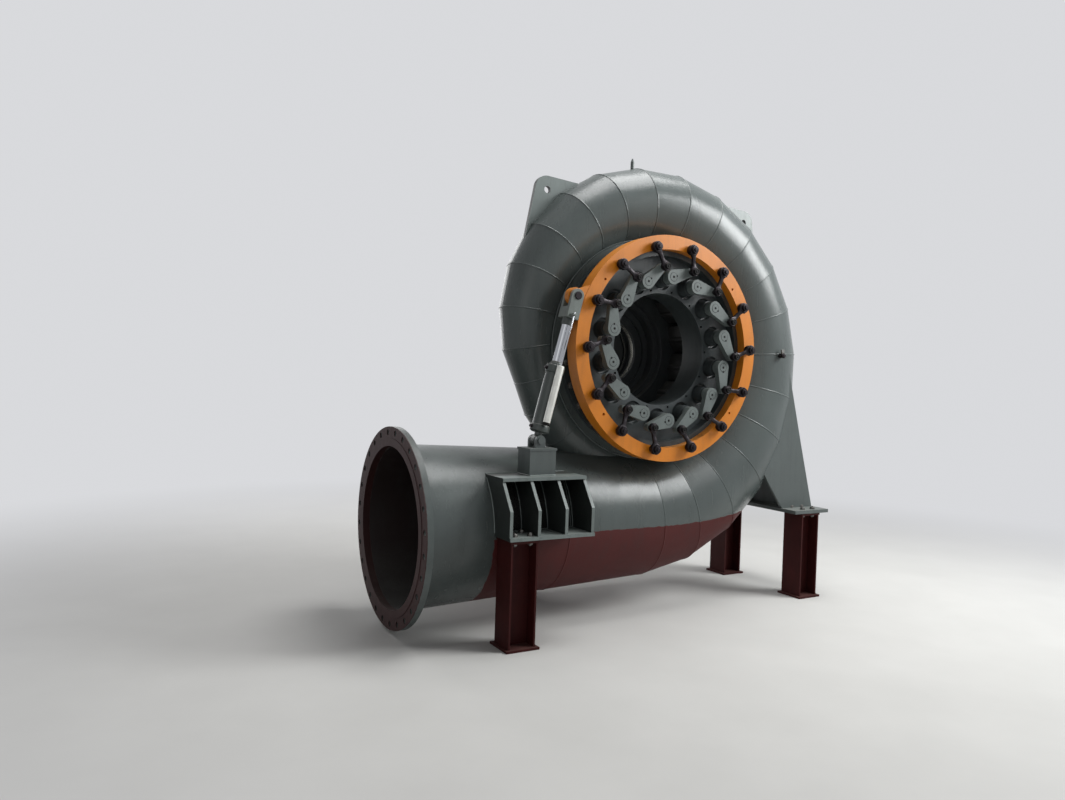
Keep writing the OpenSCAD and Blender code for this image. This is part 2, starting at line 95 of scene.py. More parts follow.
# %% A node tree with short names for its nodes
class Net:
    """A node tree; each method adds a node, joins its inputs and returns what it gives."""

    def __init__(self, tree):
        self.tree = tree

    def feed(self, socket, source):
        """Join an output, or a node's first output, to a socket, or set it to a value."""
        if isinstance(source, bpy.types.Node):
            source = source.outputs[0]
        if isinstance(source, bpy.types.NodeSocket):
            self.tree.links.new(source, socket)
        else:
            socket.default_value = source

    def put(self, kind, inputs=(), **settings):
        """Add a node, give it its settings and feed its inputs; returns the node."""
        node = self.tree.nodes.new(kind)
        for key, value in settings.items():
            setattr(node, key, value)
        for socket, source in dict(inputs).items():
            self.feed(node.inputs[socket], source)
        return node

    def math(self, operation, a, b, clamp=False):
        return self.put("ShaderNodeMath", {0: a, 1: b}, operation=operation, use_clamp=clamp)

    def add(self, a, b, clamp=False):
        return self.math("ADD", a, b, clamp)

    def mul(self, a, b, clamp=False):
        return self.math("MULTIPLY", a, b, clamp)

    def most(self, a, b):
        return self.math("MAXIMUM", a, b)

    def vector(self, operation, a, b=None, give=0):
        """Vector maths; give=1 takes the number that a length or a dot product gives."""
        inputs = {0: a} if b is None else {0: a, 3 if operation == "SCALE" else 1: b}
        return self.put("ShaderNodeVectorMath", inputs, operation=operation).outputs[give]

    def noise(self, vector, scale, detail=4.0, rough=0.55):
        """Noise value from 0 to 1 at a scale, which may be a number or a socket."""
        return self.put("ShaderNodeTexNoise", {"Vector": vector, "Scale": scale,
                                               "Detail": detail, "Roughness": rough})

    def ramp(self, value, low, high, to_low=0.0, to_high=1.0, kind="LINEAR"):
        """Map a value from low..high to another range, clamped."""
        return self.put("ShaderNodeMapRange",
                        {"Value": value, "From Min": low, "From Max": high, "To Min": to_low,
                         "To Max": to_high}, interpolation_type=kind)

    def mix(self, amount, a, b):
        """Mix two colours."""
        return self.put("ShaderNodeMix", {0: amount, 6: a, 7: b}, data_type="RGBA").outputs[2]

    def xyz(self, vector):
        return self.put("ShaderNodeSeparateXYZ", {0: vector}).outputs

    def normal(self):
        return self.put("ShaderNodeNewGeometry").outputs["Normal"]

    def from_line(self, place, on_line, across):
        """Vector from a line to a place and its length; across has 0 along the line."""
        offset = self.vector("MULTIPLY", self.vector("SUBTRACT", place, on_line), across)
        return offset, self.vector("LENGTH", offset, give=1)


def new_group(kind, name, inputs, outputs):
    """A group; each input is given its type's name, or a default that tells its type.

    Returns its net, the inputs' sockets to read and the outputs' sockets to feed."""
    tree = bpy.data.node_groups.new(name, kind)
    types = {tuple: "Color", float: "Float", int: "Int"}
    for direction, table in (("INPUT", inputs), ("OUTPUT", outputs)):
        for label, value in table.items():
            named = isinstance(value, str)
            socket = tree.interface.new_socket(
                name=label, in_out=direction,
                socket_type="NodeSocket" + (value if named else types[type(value)]))
            if not named:
                socket.default_value = value
    return (Net(tree), tree.nodes.new("NodeGroupInput").outputs,
            tree.nodes.new("NodeGroupOutput").inputs)


# %% [markdown]
# ## Shader groups
#
# A group only gives colours and values; the shader itself stays in each material,
# where its constant settings are easy to find. The first group is hand-sprayed
# shop paint: broad cloudy tone, fine orange peel, faint runs down the walls, and
# dust that settles where a face looks up.

# %% Group: sprayed shop paint
FINISH_OUT = {"Colour": "Color", "Roughness": "Float", "Height": "Float"}
net, given, wanted = new_group("ShaderNodeTree", "sprayed_paint", {
    "Position": "Vector", "Paint": (0.3, 0.3, 0.3, 1), "Grime": (0.05, 0.05, 0.04, 1),
    "Dust": (0.5, 0.48, 0.43, 1), "Cloud Size": 3.0, "Cloud": 0.12, "Grime Amount": 0.3,
    "Dust Amount": 0.3, "Base Roughness": 0.4}, FINISH_OUT)
paint_group = net.tree
cloud = net.noise(given["Position"], given["Cloud Size"], 5.0, 0.6)
peel = net.noise(given["Position"], 420.0, 2.0)
speck = net.noise(given["Position"], 95.0, 5.0, 0.7)
runs = net.noise(net.vector("MULTIPLY", given["Position"], (9.0, 9.0, 0.9)), 2.2, 5.0, 0.6)
tone = net.mul(net.ramp(cloud, 0.25, 0.75, -1.0, 1.0), given["Cloud"])
clouded = net.vector("SCALE", given["Paint"], net.add(tone, 1.0))
streaks = net.ramp(net.add(runs, net.mul(speck, 0.45)), 0.72, 1.05)
dirty = net.mix(net.mul(streaks, given["Grime Amount"], True), clouded, given["Grime"])
settle = net.mul(net.ramp(net.xyz(net.normal())[2], 0.35, 1.0),
                 net.ramp(net.add(cloud, net.mul(speck, 0.5)), 0.45, 0.95))
dust = net.mul(settle, given["Dust Amount"], True)
rough = net.add(given["Base Roughness"], net.ramp(runs, 0.3, 0.8, -0.02, 0.05))
net.feed(wanted["Colour"], net.mix(dust, dirty, given["Dust"]))
net.feed(wanted["Roughness"], net.add(rough, net.mul(dust, 0.35), True))
net.feed(wanted["Height"], net.add(net.mul(peel, 0.25), net.mul(cloud, 0.9)))
print("group", paint_group.name, "has", len(paint_group.nodes), "nodes")

# %% [markdown]
# Machined and blackened steel needs another effect: fine scratches in several
# directions, a mottled oxide and small bright spots where the surface was
# handled. Two noises stretched in different directions stand for the scratches,
# because at this distance the eye only reads their broken gloss.

# %% Group: worn steel
net, given, wanted = new_group("ShaderNodeTree", "worn_steel", {
    "Position": "Vector", "Steel": (0.5, 0.5, 0.5, 1), "Oxide": (0.1, 0.08, 0.07, 1),
    "Mottle Size": 30.0, "Oxide Amount": 0.3, "Base Roughness": 0.3}, FINISH_OUT)
steel_group = net.tree
mottle = net.noise(given["Position"], given["Mottle Size"], 6.0, 0.65)
scratch = net.mul(*[net.noise(net.vector("MULTIPLY", given["Position"], drawn_out), 1.0, 3.0)
                    for drawn_out in ((40.0, 900.0, 60.0), (700.0, 50.0, 500.0))])
oxide = net.mul(net.ramp(mottle, 0.42, 0.62), given["Oxide Amount"], True)
rough = net.add(given["Base Roughness"], net.ramp(scratch, 0.1, 0.5, -0.08, 0.14))
net.feed(wanted["Colour"], net.mix(oxide, given["Steel"], given["Oxide"]))
net.feed(wanted["Roughness"], net.add(rough, net.mul(oxide, 0.3), True))
net.feed(wanted["Height"], net.add(scratch, net.mul(mottle, 0.6)))
print("group", steel_group.name, "has", len(steel_group.nodes), "nodes")

# %% [markdown]
# ## Finishes
#
# A finish is one Principled shader fed by one of the groups. Colours are written
# as they show in the photograph, in sRGB from 0 to 255, and turned to the linear
# values that the shader works in. Where the paint changes over a piece, a pattern
# takes the colour's place: a function that makes colour, roughness and metal from
# the place of a point.

# %% Make a painted or a metal finish
def colour(r, g, b):
    """Linear colour from sRGB numbers from 0 to 255."""
    def linear(c):
        c /= 255.0
        return c / 12.92 if c <= 0.04045 else ((c + 0.055) / 1.055) ** 2.4
    return (linear(r), linear(g), linear(b), 1.0)


def start_finish(name):
    """A new material with its net, shader and Object coordinates."""
    material = bpy.data.materials.new(name)
    material.use_nodes = True
    net = Net(material.node_tree)
    return (material, net, net.tree.nodes["Principled BSDF"],
            net.put("ShaderNodeTexCoord").outputs["Object"])


def finish(name, group, base, rough, metallic, mirror, bump, depth, values):
    """A material fed by a group; base is an sRGB colour or a pattern.

    Of the other values, one that is a tuple is an sRGB colour and its amount."""
    material, net, shader, place = start_finish(name)
    if callable(base):
        base, rough, metallic = base(net, place)
    else:
        base = colour(*base)
    node = net.put("ShaderNodeGroup", {0: place, 1: base, "Base Roughness": rough},
                   node_tree=group)
    for key, value in values.items():
        label = key.replace("_", " ").title()
        if isinstance(value, tuple):
            net.feed(node.inputs[label + " Amount"], value[3])
            value = colour(*value[:3])
        net.feed(node.inputs[label], value)
    relief = net.put("ShaderNodeBump", {"Height": node.outputs["Height"], "Strength": bump,
                                        "Distance": depth})
    for socket, source in (("Base Color", node.outputs["Colour"]),
                           ("Roughness", node.outputs["Roughness"]), ("Metallic", metallic),
                           ("Specular IOR Level", mirror), ("Normal", relief)):
        net.feed(shader.inputs[socket], source)
    return material


def painted(name, base, rough=0.4, bump=0.15, mirror=0.5, depth=2 * MM, **values):
    return finish(name, paint_group, base, rough, 0.0, mirror, bump, depth, values)


def metal(name, base, rough=0.3, metallic=1.0, bump=0.12, **values):
    return finish(name, steel_group, base, rough, metallic, 0.5, bump, 1 * MM, values)


# %% [markdown]
# ### The two-tone case paint
#
# The case is grey above and still red-brown primer below. The border was masked
# along the lower flank, a little above the belly's tangent, and it climbs towards
# the right. The mask compares a point's height with a line that rises with X, and
# a little noise makes the edge look taped by hand. Inside, the inlet pipe is dark,
# and the pipe behind the bracket's ribs is painted near-black as painted shade.

# %% Case paint with primer below, the inlet's dark inside and painted shade behind the bracket
CASE_GREY = colour(82, 89, 88)
PRIMER = colour(72, 14, 12)
PRIMER_TOP_Z = 0.612
PRIMER_FROM_X = AXIS_X - 1.30
# dark colour of the pipe's inside, and painted shade for the pipe between the bracket's ribs
PIPE_INSIDE, POCKET_SHADE = colour(27, 16, 15), colour(24, 22, 21)
flange_low, flange_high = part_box("inlet_flange")
PIPE_LINE = (0, 0, (flange_low.z + flange_high.z) / 2)
# the pipe narrows from its flange to the first course: from x, to x, both radii
PIPE_TAPER = (AXIS_X - 1.777, AXIS_X, 0.510, 0.443)
# the pocket between the outer ribs, from its edges inwards: axis, outside, inside
POCKET_EDGES = ((1, -0.360, -0.370), (2, 0.650, 0.660), (2, 0.972, 0.966),
                (0, AXIS_X - 1.296, AXIS_X - 1.288), (0, AXIS_X - 0.728, AXIS_X - 0.736))


def two_tone(net, place):
    x, _, z = net.xyz(place)
    ragged = net.ramp(net.noise(place, 14.0), 0.3, 0.7, -0.006, 0.006)
    climb = net.ramp(x, AXIS_X + 0.2, AXIS_X + 0.9, 0.0, 0.045)
    border = net.add(net.add(climb, PRIMER_TOP_Z), ragged)
    below = net.ramp(net.math("SUBTRACT", border, z), -0.002, 0.002)
    rightwards = net.ramp(net.add(x, ragged), PRIMER_FROM_X - 0.003, PRIMER_FROM_X + 0.003)
    primed = net.mul(below, rightwards)
    return net.mix(primed, CASE_GREY, PRIMER), net.ramp(primed, 0.0, 1.0, 0.25, 0.62), 0.0


def inlet_tone(net, place):
    paint, rough, _ = two_tone(net, place)
    along = net.xyz(place)
    # a point is inside when it lies nearer to the pipe's middle line than its wall
    across, radius = net.from_line(place, PIPE_LINE, (0, 1, 1))
    depth = net.math("SUBTRACT", net.ramp(along[0], *PIPE_TAPER), radius)
    # and when its face looks at that line, which the bend's outside never does
    looks = net.vector("DOT_PRODUCT", across, net.normal(), give=1)
    inner = net.mul(net.ramp(depth, 0.008, 0.011), net.ramp(looks, 0.0, -0.03))
    pocket = 1.0
    for axis, outside, inside in POCKET_EDGES:
        pocket = net.mul(pocket, net.ramp(along[axis], outside, inside))
    # the pipe between the outer ribs is painted near-black: painted shade
    paint = net.mix(pocket, net.mix(inner, paint, PIPE_INSIDE), POCKET_SHADE)
    return paint, net.add(rough, net.mul(inner, 0.35)), 0.0


CASE_LOOK = {"bump": 0.3, "mirror": 0.36, "depth": 4 * MM, "cloud_size": 2.4, "cloud": 0.13,
             "grime": (48, 52, 50, 0.25), "dust": (128, 132, 127, 0.25)}
case_grey = painted("case_grey", two_tone, **CASE_LOOK)
inlet_grey = painted("inlet_grey", inlet_tone, **CASE_LOOK)

# %% [markdown]
# ### The inlet flange
#
# Only the face that meets the next flange was left in primer. The rim and the back
# were sprayed grey together with the pipe, and a little grey fell over the edge.
# The mask therefore measures how far a point lies behind the face, and how far
# from the middle line, so that the bore keeps the primer too.

# %% Flange paint with a primer face
def primer_face(net, place):
    spray = net.ramp(net.noise(place, 30.0), 0.3, 0.7, -0.002, 0.002)
    behind = net.ramp(net.add(net.xyz(place)[0], spray), flange_low.x + 0.006,
                      flange_low.x + 0.009)
    radius = net.from_line(place, PIPE_LINE, (0, 1, 1))[1]
    grey = net.mul(behind, net.ramp(radius, 0.498, 0.502))
    return (net.mix(grey, colour(44, 17, 16), CASE_GREY), net.ramp(grey, 0.0, 1.0, 0.6, 0.36),
            0.0)


flange_finish = painted("flange_finish", primer_face, bump=0.25, mirror=0.3, cloud_size=6.0,
                        cloud=0.2, grime=(36, 26, 24, 0.4), dust=(110, 104, 98, 0.3))

# %% [markdown]
# ### Bracket, rear cover and vanes
#
# The bracket's faces that look to the front or up are painted light, and its other
# faces dark, as painted light and shade: a mask reads the face's normal. The rear
# cover is painted too, but the lands round its shaft bore were turned and are bare
# steel, which is why two small bright arcs gleam deep in the bore. A vane has the
# lever's paint in front of the cover; behind it, in the case, it is bare steel with
# its colour darkened as painted shade.

# %% Painted light on faces that look to the front or up, painted shade on the rest
# faces that look to the front or up get a painted highlight colour, the others a painted shade
# colour
def painted_front_light(net, place):
    _, faces_y, faces_z = net.xyz(net.normal())
    front = net.ramp(faces_y, -0.25, -0.6)
    top = net.mul(net.ramp(faces_z, 0.5, 0.8), net.ramp(net.xyz(place)[1], -0.440, -0.470))
    return net.mix(net.most(front, top), colour(40, 44, 43), colour(112, 121, 119)), 0.36, 0.0


bracket_paint_and_shade = painted("bracket_paint_and_shade", painted_front_light, bump=0.2, cloud_size=6.0, cloud=0.12,
                         grime=(30, 30, 27, 0.45), dust=(150, 150, 142, 0.25))

# %% Rear cover with turned lands, and vanes with paint outside and painted shade inside
LAND_R = 0.246
LANDS = ((0.290, 0.326), (0.380, 0.400))
WATER_Y = -0.300


def turned_lands(net, place):
    y = net.xyz(place)[1]
    radius = net.from_line(place, (AXIS_X, 0, AXIS_Z), (1, 0, 1))[1]
    inner = net.ramp(radius, LAND_R + 1 * MM, LAND_R)
    land = 0.0
    for start, stop in LANDS:
        band = net.mul(net.ramp(y, start, start + 1 * MM), net.ramp(y, stop, stop - 1 * MM))
        land = net.most(land, net.mul(inner, band))
    return (net.mix(land, colour(56, 60, 61), colour(214, 212, 200)),
            net.ramp(land, 0.0, 1.0, 0.42, 0.24), net.mul(land, 0.9))


# behind the cover the vane is bare steel, its colour darkened as painted shade
def shaded_bare_steel(net, place):
    outside = net.ramp(net.xyz(place)[1], WATER_Y - 2 * MM, WATER_Y + 2 * MM)
    return net.mix(outside, colour(97, 105, 103), colour(50, 50, 49)), 0.42, 0.0


rear_finish = painted("rear_finish", turned_lands, bump=0.2, cloud_size=9.0, cloud=0.15,
                      grime=(20, 20, 19, 0.4))
vane_paint_and_shade = painted("vane_paint_and_shade", shaded_bare_steel, bump=0.25, cloud_size=14.0, cloud=0.15,
                      grime=(40, 38, 34, 0.5))

# %% Finishes of one colour
plate_grey = painted("plate_grey", (82, 89, 88), 0.38, 0.2, grime=(50, 54, 50, 0.4),
                     dust=(150, 150, 142, 0.35))
cover_grey = painted("cover_grey", (60, 66, 67), 0.34, 0.2, grime=(18, 20, 20, 0.55),
                     dust=(96, 98, 95, 0.25), cloud=0.2)
ring_orange = painted("ring_orange", (210, 124, 24), 0.40, 0.12, grime=(120, 66, 22, 0.3),
                      dust=(226, 178, 110, 0.25), cloud=0.07)
lever_grey = painted("lever_grey", (97, 105, 103), 0.44, 0.2, grime=(56, 58, 54, 0.45),
                     dust=(160, 160, 150, 0.2), cloud=0.1, cloud_size=14.0)
fork_grey = painted("fork_grey", (116, 123, 119), 0.36, 0.2, grime=(56, 58, 54, 0.4),
                    cloud_size=14.0)
servo_green = painted("servo_green", (60, 67, 64), 0.35, 0.15, grime=(26, 26, 24, 0.5),
                      cloud_size=16.0)
leg_primer = painted("leg_primer", (56, 17, 16), 0.6, 0.35, 0.16, grime=(38, 21, 19, 0.6),
                     dust=(100, 78, 72, 0.45), cloud=0.2, cloud_size=8.0)
# black of the pins' heads and caps; on the levers it is also painted shade in the hole, joint and
# dot
pin_black_and_shade = painted("pin_black_and_shade", (11, 10, 10), 0.65, 0.3, 0.2, grime=(26, 22, 20, 0.5),
                    cloud=0.3, cloud_size=40.0)
black_steel = metal("black_steel", (46, 42, 45), 0.34, 0.8, 0.3, oxide=(22, 18, 20, 0.7),
                    mottle_size=55.0)
zinc_bolt = metal("zinc_bolt", (120, 120, 118), 0.42, 0.9, 0.25, oxide=(72, 62, 52, 0.6),
                  mottle_size=90.0)
chrome = metal("rod_chrome", (170, 172, 176), 0.08, 1.0, 0.03, oxide=(168, 170, 174, 0.2),
               mottle_size=12.0)
aluminium = metal("tube_aluminium", (222, 222, 216), 0.36, 0.55, 0.1,
                  oxide=(186, 186, 178, 0.4), mottle_size=24.0)
print("finishes", len(bpy.data.materials))

# %% [markdown]
# ### Dress the rigid nodes
#
# A node whose shape is right only gets its finish: the one that the table names,
# or the finish of all vanes or all links.

# %% Finishes of the rigid nodes
DRESS = {
    "spiral_case": case_grey, "stay_ring": case_grey, "spiral_inlet": inlet_grey,
    "inlet_pipe": inlet_grey, "inlet_flange": flange_finish, "front_cover": cover_grey,
    "rear_cover": rear_finish, "regulating_ring": ring_orange, "servo_bracket": bracket_paint_and_shade,
    "lifting_lugs": bracket_paint_and_shade, "servo_pedestal": plate_grey, "rear_bracket": plate_grey,
    "right_foot": plate_grey, "air_vent": plate_grey, "legs": leg_primer,
    "servo_cylinder": servo_green, "servo_rod": chrome, "position_sensor": aluminium,
    "drain_cock": black_steel,
}
for node_name, node in NODES.items():
    repeated = vane_paint_and_shade if node_name.startswith("guide_vane") else black_steel
    node.data.materials.clear()
    node.data.materials.append(DRESS.get(node_name, repeated))
print("dressed", len(NODES), "nodes")

# %% [markdown]
# ## Mesh helpers
#
# Small pieces are made of turned and cut parts. `turned` spins a profile about an
# axis along Y, as a lathe would, and `plate` pushes an outline through a
# thickness. A Bevel modifier then breaks the sharp edges, which is what makes cut
# steel catch the light.

# %% Turned and cut parts, and keeping a piece
class Shape:
    """A mesh under construction; its place puts each new part where it belongs."""

    def __init__(self, place=Matrix.Identity(4)):
        self.bm = bmesh.new()
        self.place = place

    def point(self, x, y, z):
        return self.bm.verts.new(self.place @ Vector((x, y, z)))

    def turned(self, profile, at=(0, 0), base=0.0, sides=32, slot=0):
        """Turn a profile of (radius, y) in mm, y counted from base; slot may list the bands'."""
        slots = slot if isinstance(slot, list) else [slot] * len(profile)
        rings = []
        for radius, y in profile:
            turns = [math.tau * k / sides for k in range(sides if radius else 1)]
            rings.append([self.point(at[0] + radius * MM * math.cos(a), base + y * MM,
                                     at[1] + radius * MM * math.sin(a)) for a in turns])
        if profile[0] == profile[-1]:
            bmesh.ops.delete(self.bm, geom=rings[-1], context="VERTS")
            rings[-1] = rings[0]
        for low, high, band in zip(rings, rings[1:], slots):
            for k in range(sides):
                n = (k + 1) % sides
                start = [low[0]] if len(low) == 1 else [low[k], low[n]]
                stop = [high[0]] if len(high) == 1 else [high[n], high[k]]
                self.bm.faces.new(start + stop).material_index = band

    def plate(self, outline, y_back, y_front, slot=0):
        """Push an outline of (x, z) points from y_back to y_front."""
        back = [self.point(x, y_back, z) for x, z in outline]
        front = [self.point(x, y_front, z) for x, z in outline]
        sides = [(back[k], back[k - 1], front[k - 1], front[k]) for k in range(len(outline))]
        for corners in [back, front[::-1]] + sides:
            self.bm.faces.new(corners).material_index = slot


def rod(radius, start, stop):
    """Profile of a plain round bar."""
    return [(0, start), (radius, start), (radius, stop), (0, stop)]


def spaced(start, stop, steps):
    """Evenly spaced values from start to stop, both included."""
    return [start + (stop - start) * k / steps for k in range(steps + 1)]


def mm(points, at=(0, 0)):
    """Points in metres from points in millimetres counted from a place."""
    return [(at[0] + x * MM, at[1] + z * MM) for x, z in points]


def keep(name, shape, materials, body, rounding=0.0, steps=2, sharp_deg=40.0):
    """Make a named piece of a shape, with its finishes and a bevel, and let it ride."""
    bmesh.ops.recalc_face_normals(shape.bm, faces=shape.bm.faces)
    mesh = bpy.data.meshes.new(name)
    shape.bm.to_mesh(mesh)
    shape.bm.free()
    for polygon in mesh.polygons:
        polygon.use_smooth = True
    mesh.set_sharp_from_angle(angle=math.radians(sharp_deg))
    for material in materials:
        mesh.materials.append(material)
    piece = bpy.data.objects.new(name, mesh)
    bpy.context.scene.collection.objects.link(piece)
    if rounding:
        bevel = piece.modifiers.new("rounded_edges", "BEVEL")
        bevel.width = rounding
        bevel.segments = steps
        bevel.limit_method = "ANGLE"
        bevel.angle_limit = math.radians(35)
        bevel.use_clamp_overlap = True
    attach(piece, body)
    return piece


# %% [markdown]
# ## Guide-vane levers
#
# Each lever is a cut plate shaped like a drop: a round hub clamped on the vane's
# stem and a slim tip under the link. The rigid node has its size and place. Over
# it goes a skin a few millimetres larger, with rounded edges, a flat dark ring
# painted as the shade of the joint round the stem, the puller hole in the stem's
# end with a dark bottom painted as its shade, and a dark dot beside it painted as
# the shade of a small hole. All of that is one piece for each vane, because it
# turns with that vane.

# %% Gear sizes, as in the rigid model
VANES = 14
STEM_CIRCLE, TIP_CIRCLE, PIN_CIRCLE = 480 * MM, 545 * MM, 680 * MM
TIP_DEG, PIN_DEG = 15.9, 10.9
LEVER_FRONT, LEVER_BACK = -450 * MM, -400 * MM
LINK_Y = -485 * MM
RING_FRONT = -454 * MM
HUB_R, TIP_R = 49, 26.5


def on_circle(radius, degrees):
    """(x, z) of a point at the top of the gear, turned clockwise by an angle."""
    a = math.radians(degrees)
    return Vector((radius * math.sin(a), radius * math.cos(a)))


def gear_turn(index):
    """Turns a shape drawn at the top of the gear clockwise to the place of a vane."""
    return (Matrix.Translation((AXIS_X, 0, AXIS_Z))
            @ Matrix.Rotation(math.radians(index * 360 / VANES), 4, "Y"))


def drop_outline(hub, tip, hub_r, tip_r, steps=14):
    """Outline of two discs joined by their common tangents, as (x, z) points."""
    line = tip - hub
    heading = math.atan2(line.x, line.y)
    lean = math.acos((hub_r - tip_r) / line.length)
    points = []
    for centre, radius, start, stop, count in ((tip, tip_r, -lean, lean, steps),
                                               (hub, hub_r, lean, math.tau - lean, 2 * steps)):
        for a in spaced(heading + start, heading + stop, count):
            points.append((centre.x + radius * math.sin(a), centre.y + radius * math.cos(a)))
    return points


# %% Make the levers' skins
STEM_AT = Vector((0, STEM_CIRCLE))
TIP_AT = on_circle(TIP_CIRCLE, TIP_DEG)
HOLE_SHADE_AT = STEM_AT + (TIP_AT - STEM_AT).normalized() * 29.5 * MM
SKIN_FRONT = LEVER_FRONT - 5.4 * MM
TIP_HEAD = LINK_Y - 20.3 * MM


def lever_skin(index):
    name = "lever_skin_%02d" % (index + 1)
    skin = Shape(gear_turn(index))
    skin.plate(drop_outline(STEM_AT, TIP_AT, HUB_R * MM, TIP_R * MM), LEVER_FRONT + 34 * MM,
               SKIN_FRONT)
    # hub seen from the side
    skin.turned(rod(HUB_R, 1, -20), STEM_AT, LEVER_BACK, 40)
    # flat dark ring as painted shade of the hub-stem joint, then the stem's end with the puller
    # hole
    skin.turned([(27, 1), (30.5, 1), (30.5, -0.3), (27, -0.3), (27, 1)], STEM_AT, SKIN_FRONT,
                40, 1)
    skin.turned([(8.4, 15), (26, 15), (26, 1), (28.4, 0), (28.4, -0.5), (27.6, -1.3),
                 (9, -1.3), (8.4, -0.3), (8.4, 15)], STEM_AT, SKIN_FRONT, 36,
                [0, 0, 0, 0, 0, 0, 1, 1])
    # dark bottom of the puller hole, painted shade that closes the shallow hole
    skin.turned(rod(9, 1, -0.3), STEM_AT, SKIN_FRONT, 24, 1)
    # dark dot at the joint of stem and hub, on the side of the tip: painted shade of a small hole
    skin.turned([(0, 2), (6.6, 2), (6.6, -1.5), (6, -1.8), (0, -1.8)], HOLE_SHADE_AT, SKIN_FRONT, 16, 1)
    # spacer, head and hexagon of the pin that carries the link
    skin.turned([(0, 0), (19, -3), (19, -14), (0, -14.5)], TIP_AT, LEVER_FRONT, 28, 1)
    skin.turned([(0, 0), (20.8, 0), (20.8, -9.2), (18.6, -11.4), (13.5, -11.4), (12.5, -9.6),
                 (0, -9.6)], TIP_AT, TIP_HEAD, 32, 1)
    skin.turned([(0, -9), (7.5, -9), (7.5, -13), (0, -13.6)], TIP_AT, TIP_HEAD, 6, 1)
    piece = keep(name, skin, [lever_grey, pin_black_and_shade], "guide_vane_%02d" % (index + 1),
                 1.6 * MM, 3)
    return piece


lever_skins = [lever_skin(k) for k in range(VANES)]
print("levers", len(lever_skins), "polygons each", len(lever_skins[0].data.polygons))

# %% [markdown]
# ## Links
#
# A link is a small forging: an eye at each end and a waisted neck between them.
# A plain bar between two discs looks cut, not forged, so the outline narrows from
# each eye into the neck along a curve, and the neck steps back from the ring's
# eye to the lever's eye. The eyes are turned with a chamfer and a round groove.
# This piece replaces the plain link node; its eyes keep the node's places.

# %% Make the forged links, sizes in millimetres
PIN_AT = on_circle(PIN_CIRCLE, PIN_DEG)
RING_EYE_R, TIP_EYE_R, NECK_HALF = 35.5, 29.5, 13
EYE_RIM = 2.4
NECK_CORNERS = ((-1, -0.72), (-0.72, -1), (0.72, -1), (1, -0.72), (1, 0.72), (0.72, 1),
                (-0.72, 1), (-1, 0.72))


def neck(link, start, end, rows=14):
    """The waisted neck between the two eyes, stepping back along Y by a few millimetres."""
    line = end - start
    along = line / line.length
    side = Vector((along.y, -along.x))
    loops = []
    for t in spaced(0, 1, rows):
        # half width follows the eyes at both ends and the waist in the middle
        flare_in = max(0.0, 1 - t / 0.34) ** 2.2 * RING_EYE_R * 0.62
        flare_out = max(0.0, 1 - (1 - t) / 0.30) ** 2.2 * TIP_EYE_R * 0.62
        half = (NECK_HALF + flare_in + flare_out) * MM
        step = 0.5 - 0.5 * math.cos(math.pi * min(max((t - 0.3) / 0.4, 0), 1))
        middle_y = LINK_Y + (6 * step - 4) * MM
        thick = (9.0 + 2.5 * (2 * t - 1) ** 2) * MM
        at = start + along * (line.length * t)
        corners = [(at + side * (half * s), middle_y + thick * y) for s, y in NECK_CORNERS]
        loops.append([link.point(p.x, y, p.y) for p, y in corners])
    for low, high in zip(loops, loops[1:]):
        for k in range(len(NECK_CORNERS)):
            link.bm.faces.new((low[k - 1], low[k], high[k], high[k - 1]))
    link.bm.faces.new(loops[0])
    link.bm.faces.new(loops[-1][::-1])


def eye(link, at, radius, hole, half):
    """A turned eye with chamfered rims, a groove on its face and the bore through it."""
    groove = (radius + hole) / 2
    link.turned([(hole, -half), (groove - 2.5, -half), (groove - 1.2, 1.4 - half),
                 (groove + 0.8, 1.4 - half), (groove + 2.2, -half), (radius - EYE_RIM, -half),
                 (radius, EYE_RIM - half), (radius, half - EYE_RIM), (radius - EYE_RIM, half),
                 (hole, half), (hole, -half)], at, LINK_Y, 40)


def forged_link(index):
    line = (TIP_AT - PIN_AT).normalized()
    link = Shape(gear_turn(index))
    eye(link, PIN_AT, RING_EYE_R, 12.05, 18)
    eye(link, TIP_AT, TIP_EYE_R, 15.6, 15)
    neck(link, PIN_AT + line * 20 * MM, TIP_AT - line * 18.5 * MM)
    piece = keep("forged_link_%02d" % (index + 1), link, [black_steel],
                 "link_%02d" % (index + 1), sharp_deg=50)
    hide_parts("link_%02d" % (index + 1))
    return piece


links = [forged_link(k) for k in range(VANES)]
print("links", len(links), "polygons each", len(links[0].data.polygons))

# %% [markdown]
# ## Pins of the regulating ring, and the pockets behind the levers
#
# Fourteen pins stand on the ring. In the photograph their spacers and heads are
# blackened like the links, not orange, so the ring gets one more piece with dark
# spacers behind the links and domed heads with a hexagon in front of them.
#
# The cover's casting is hollowed round each bushing, but not deep: the core left a
# dished floor with soft fillets at the bushing and at the wall. The rigid cover
# has plain deep pockets, so a thin dish stands in each of them.

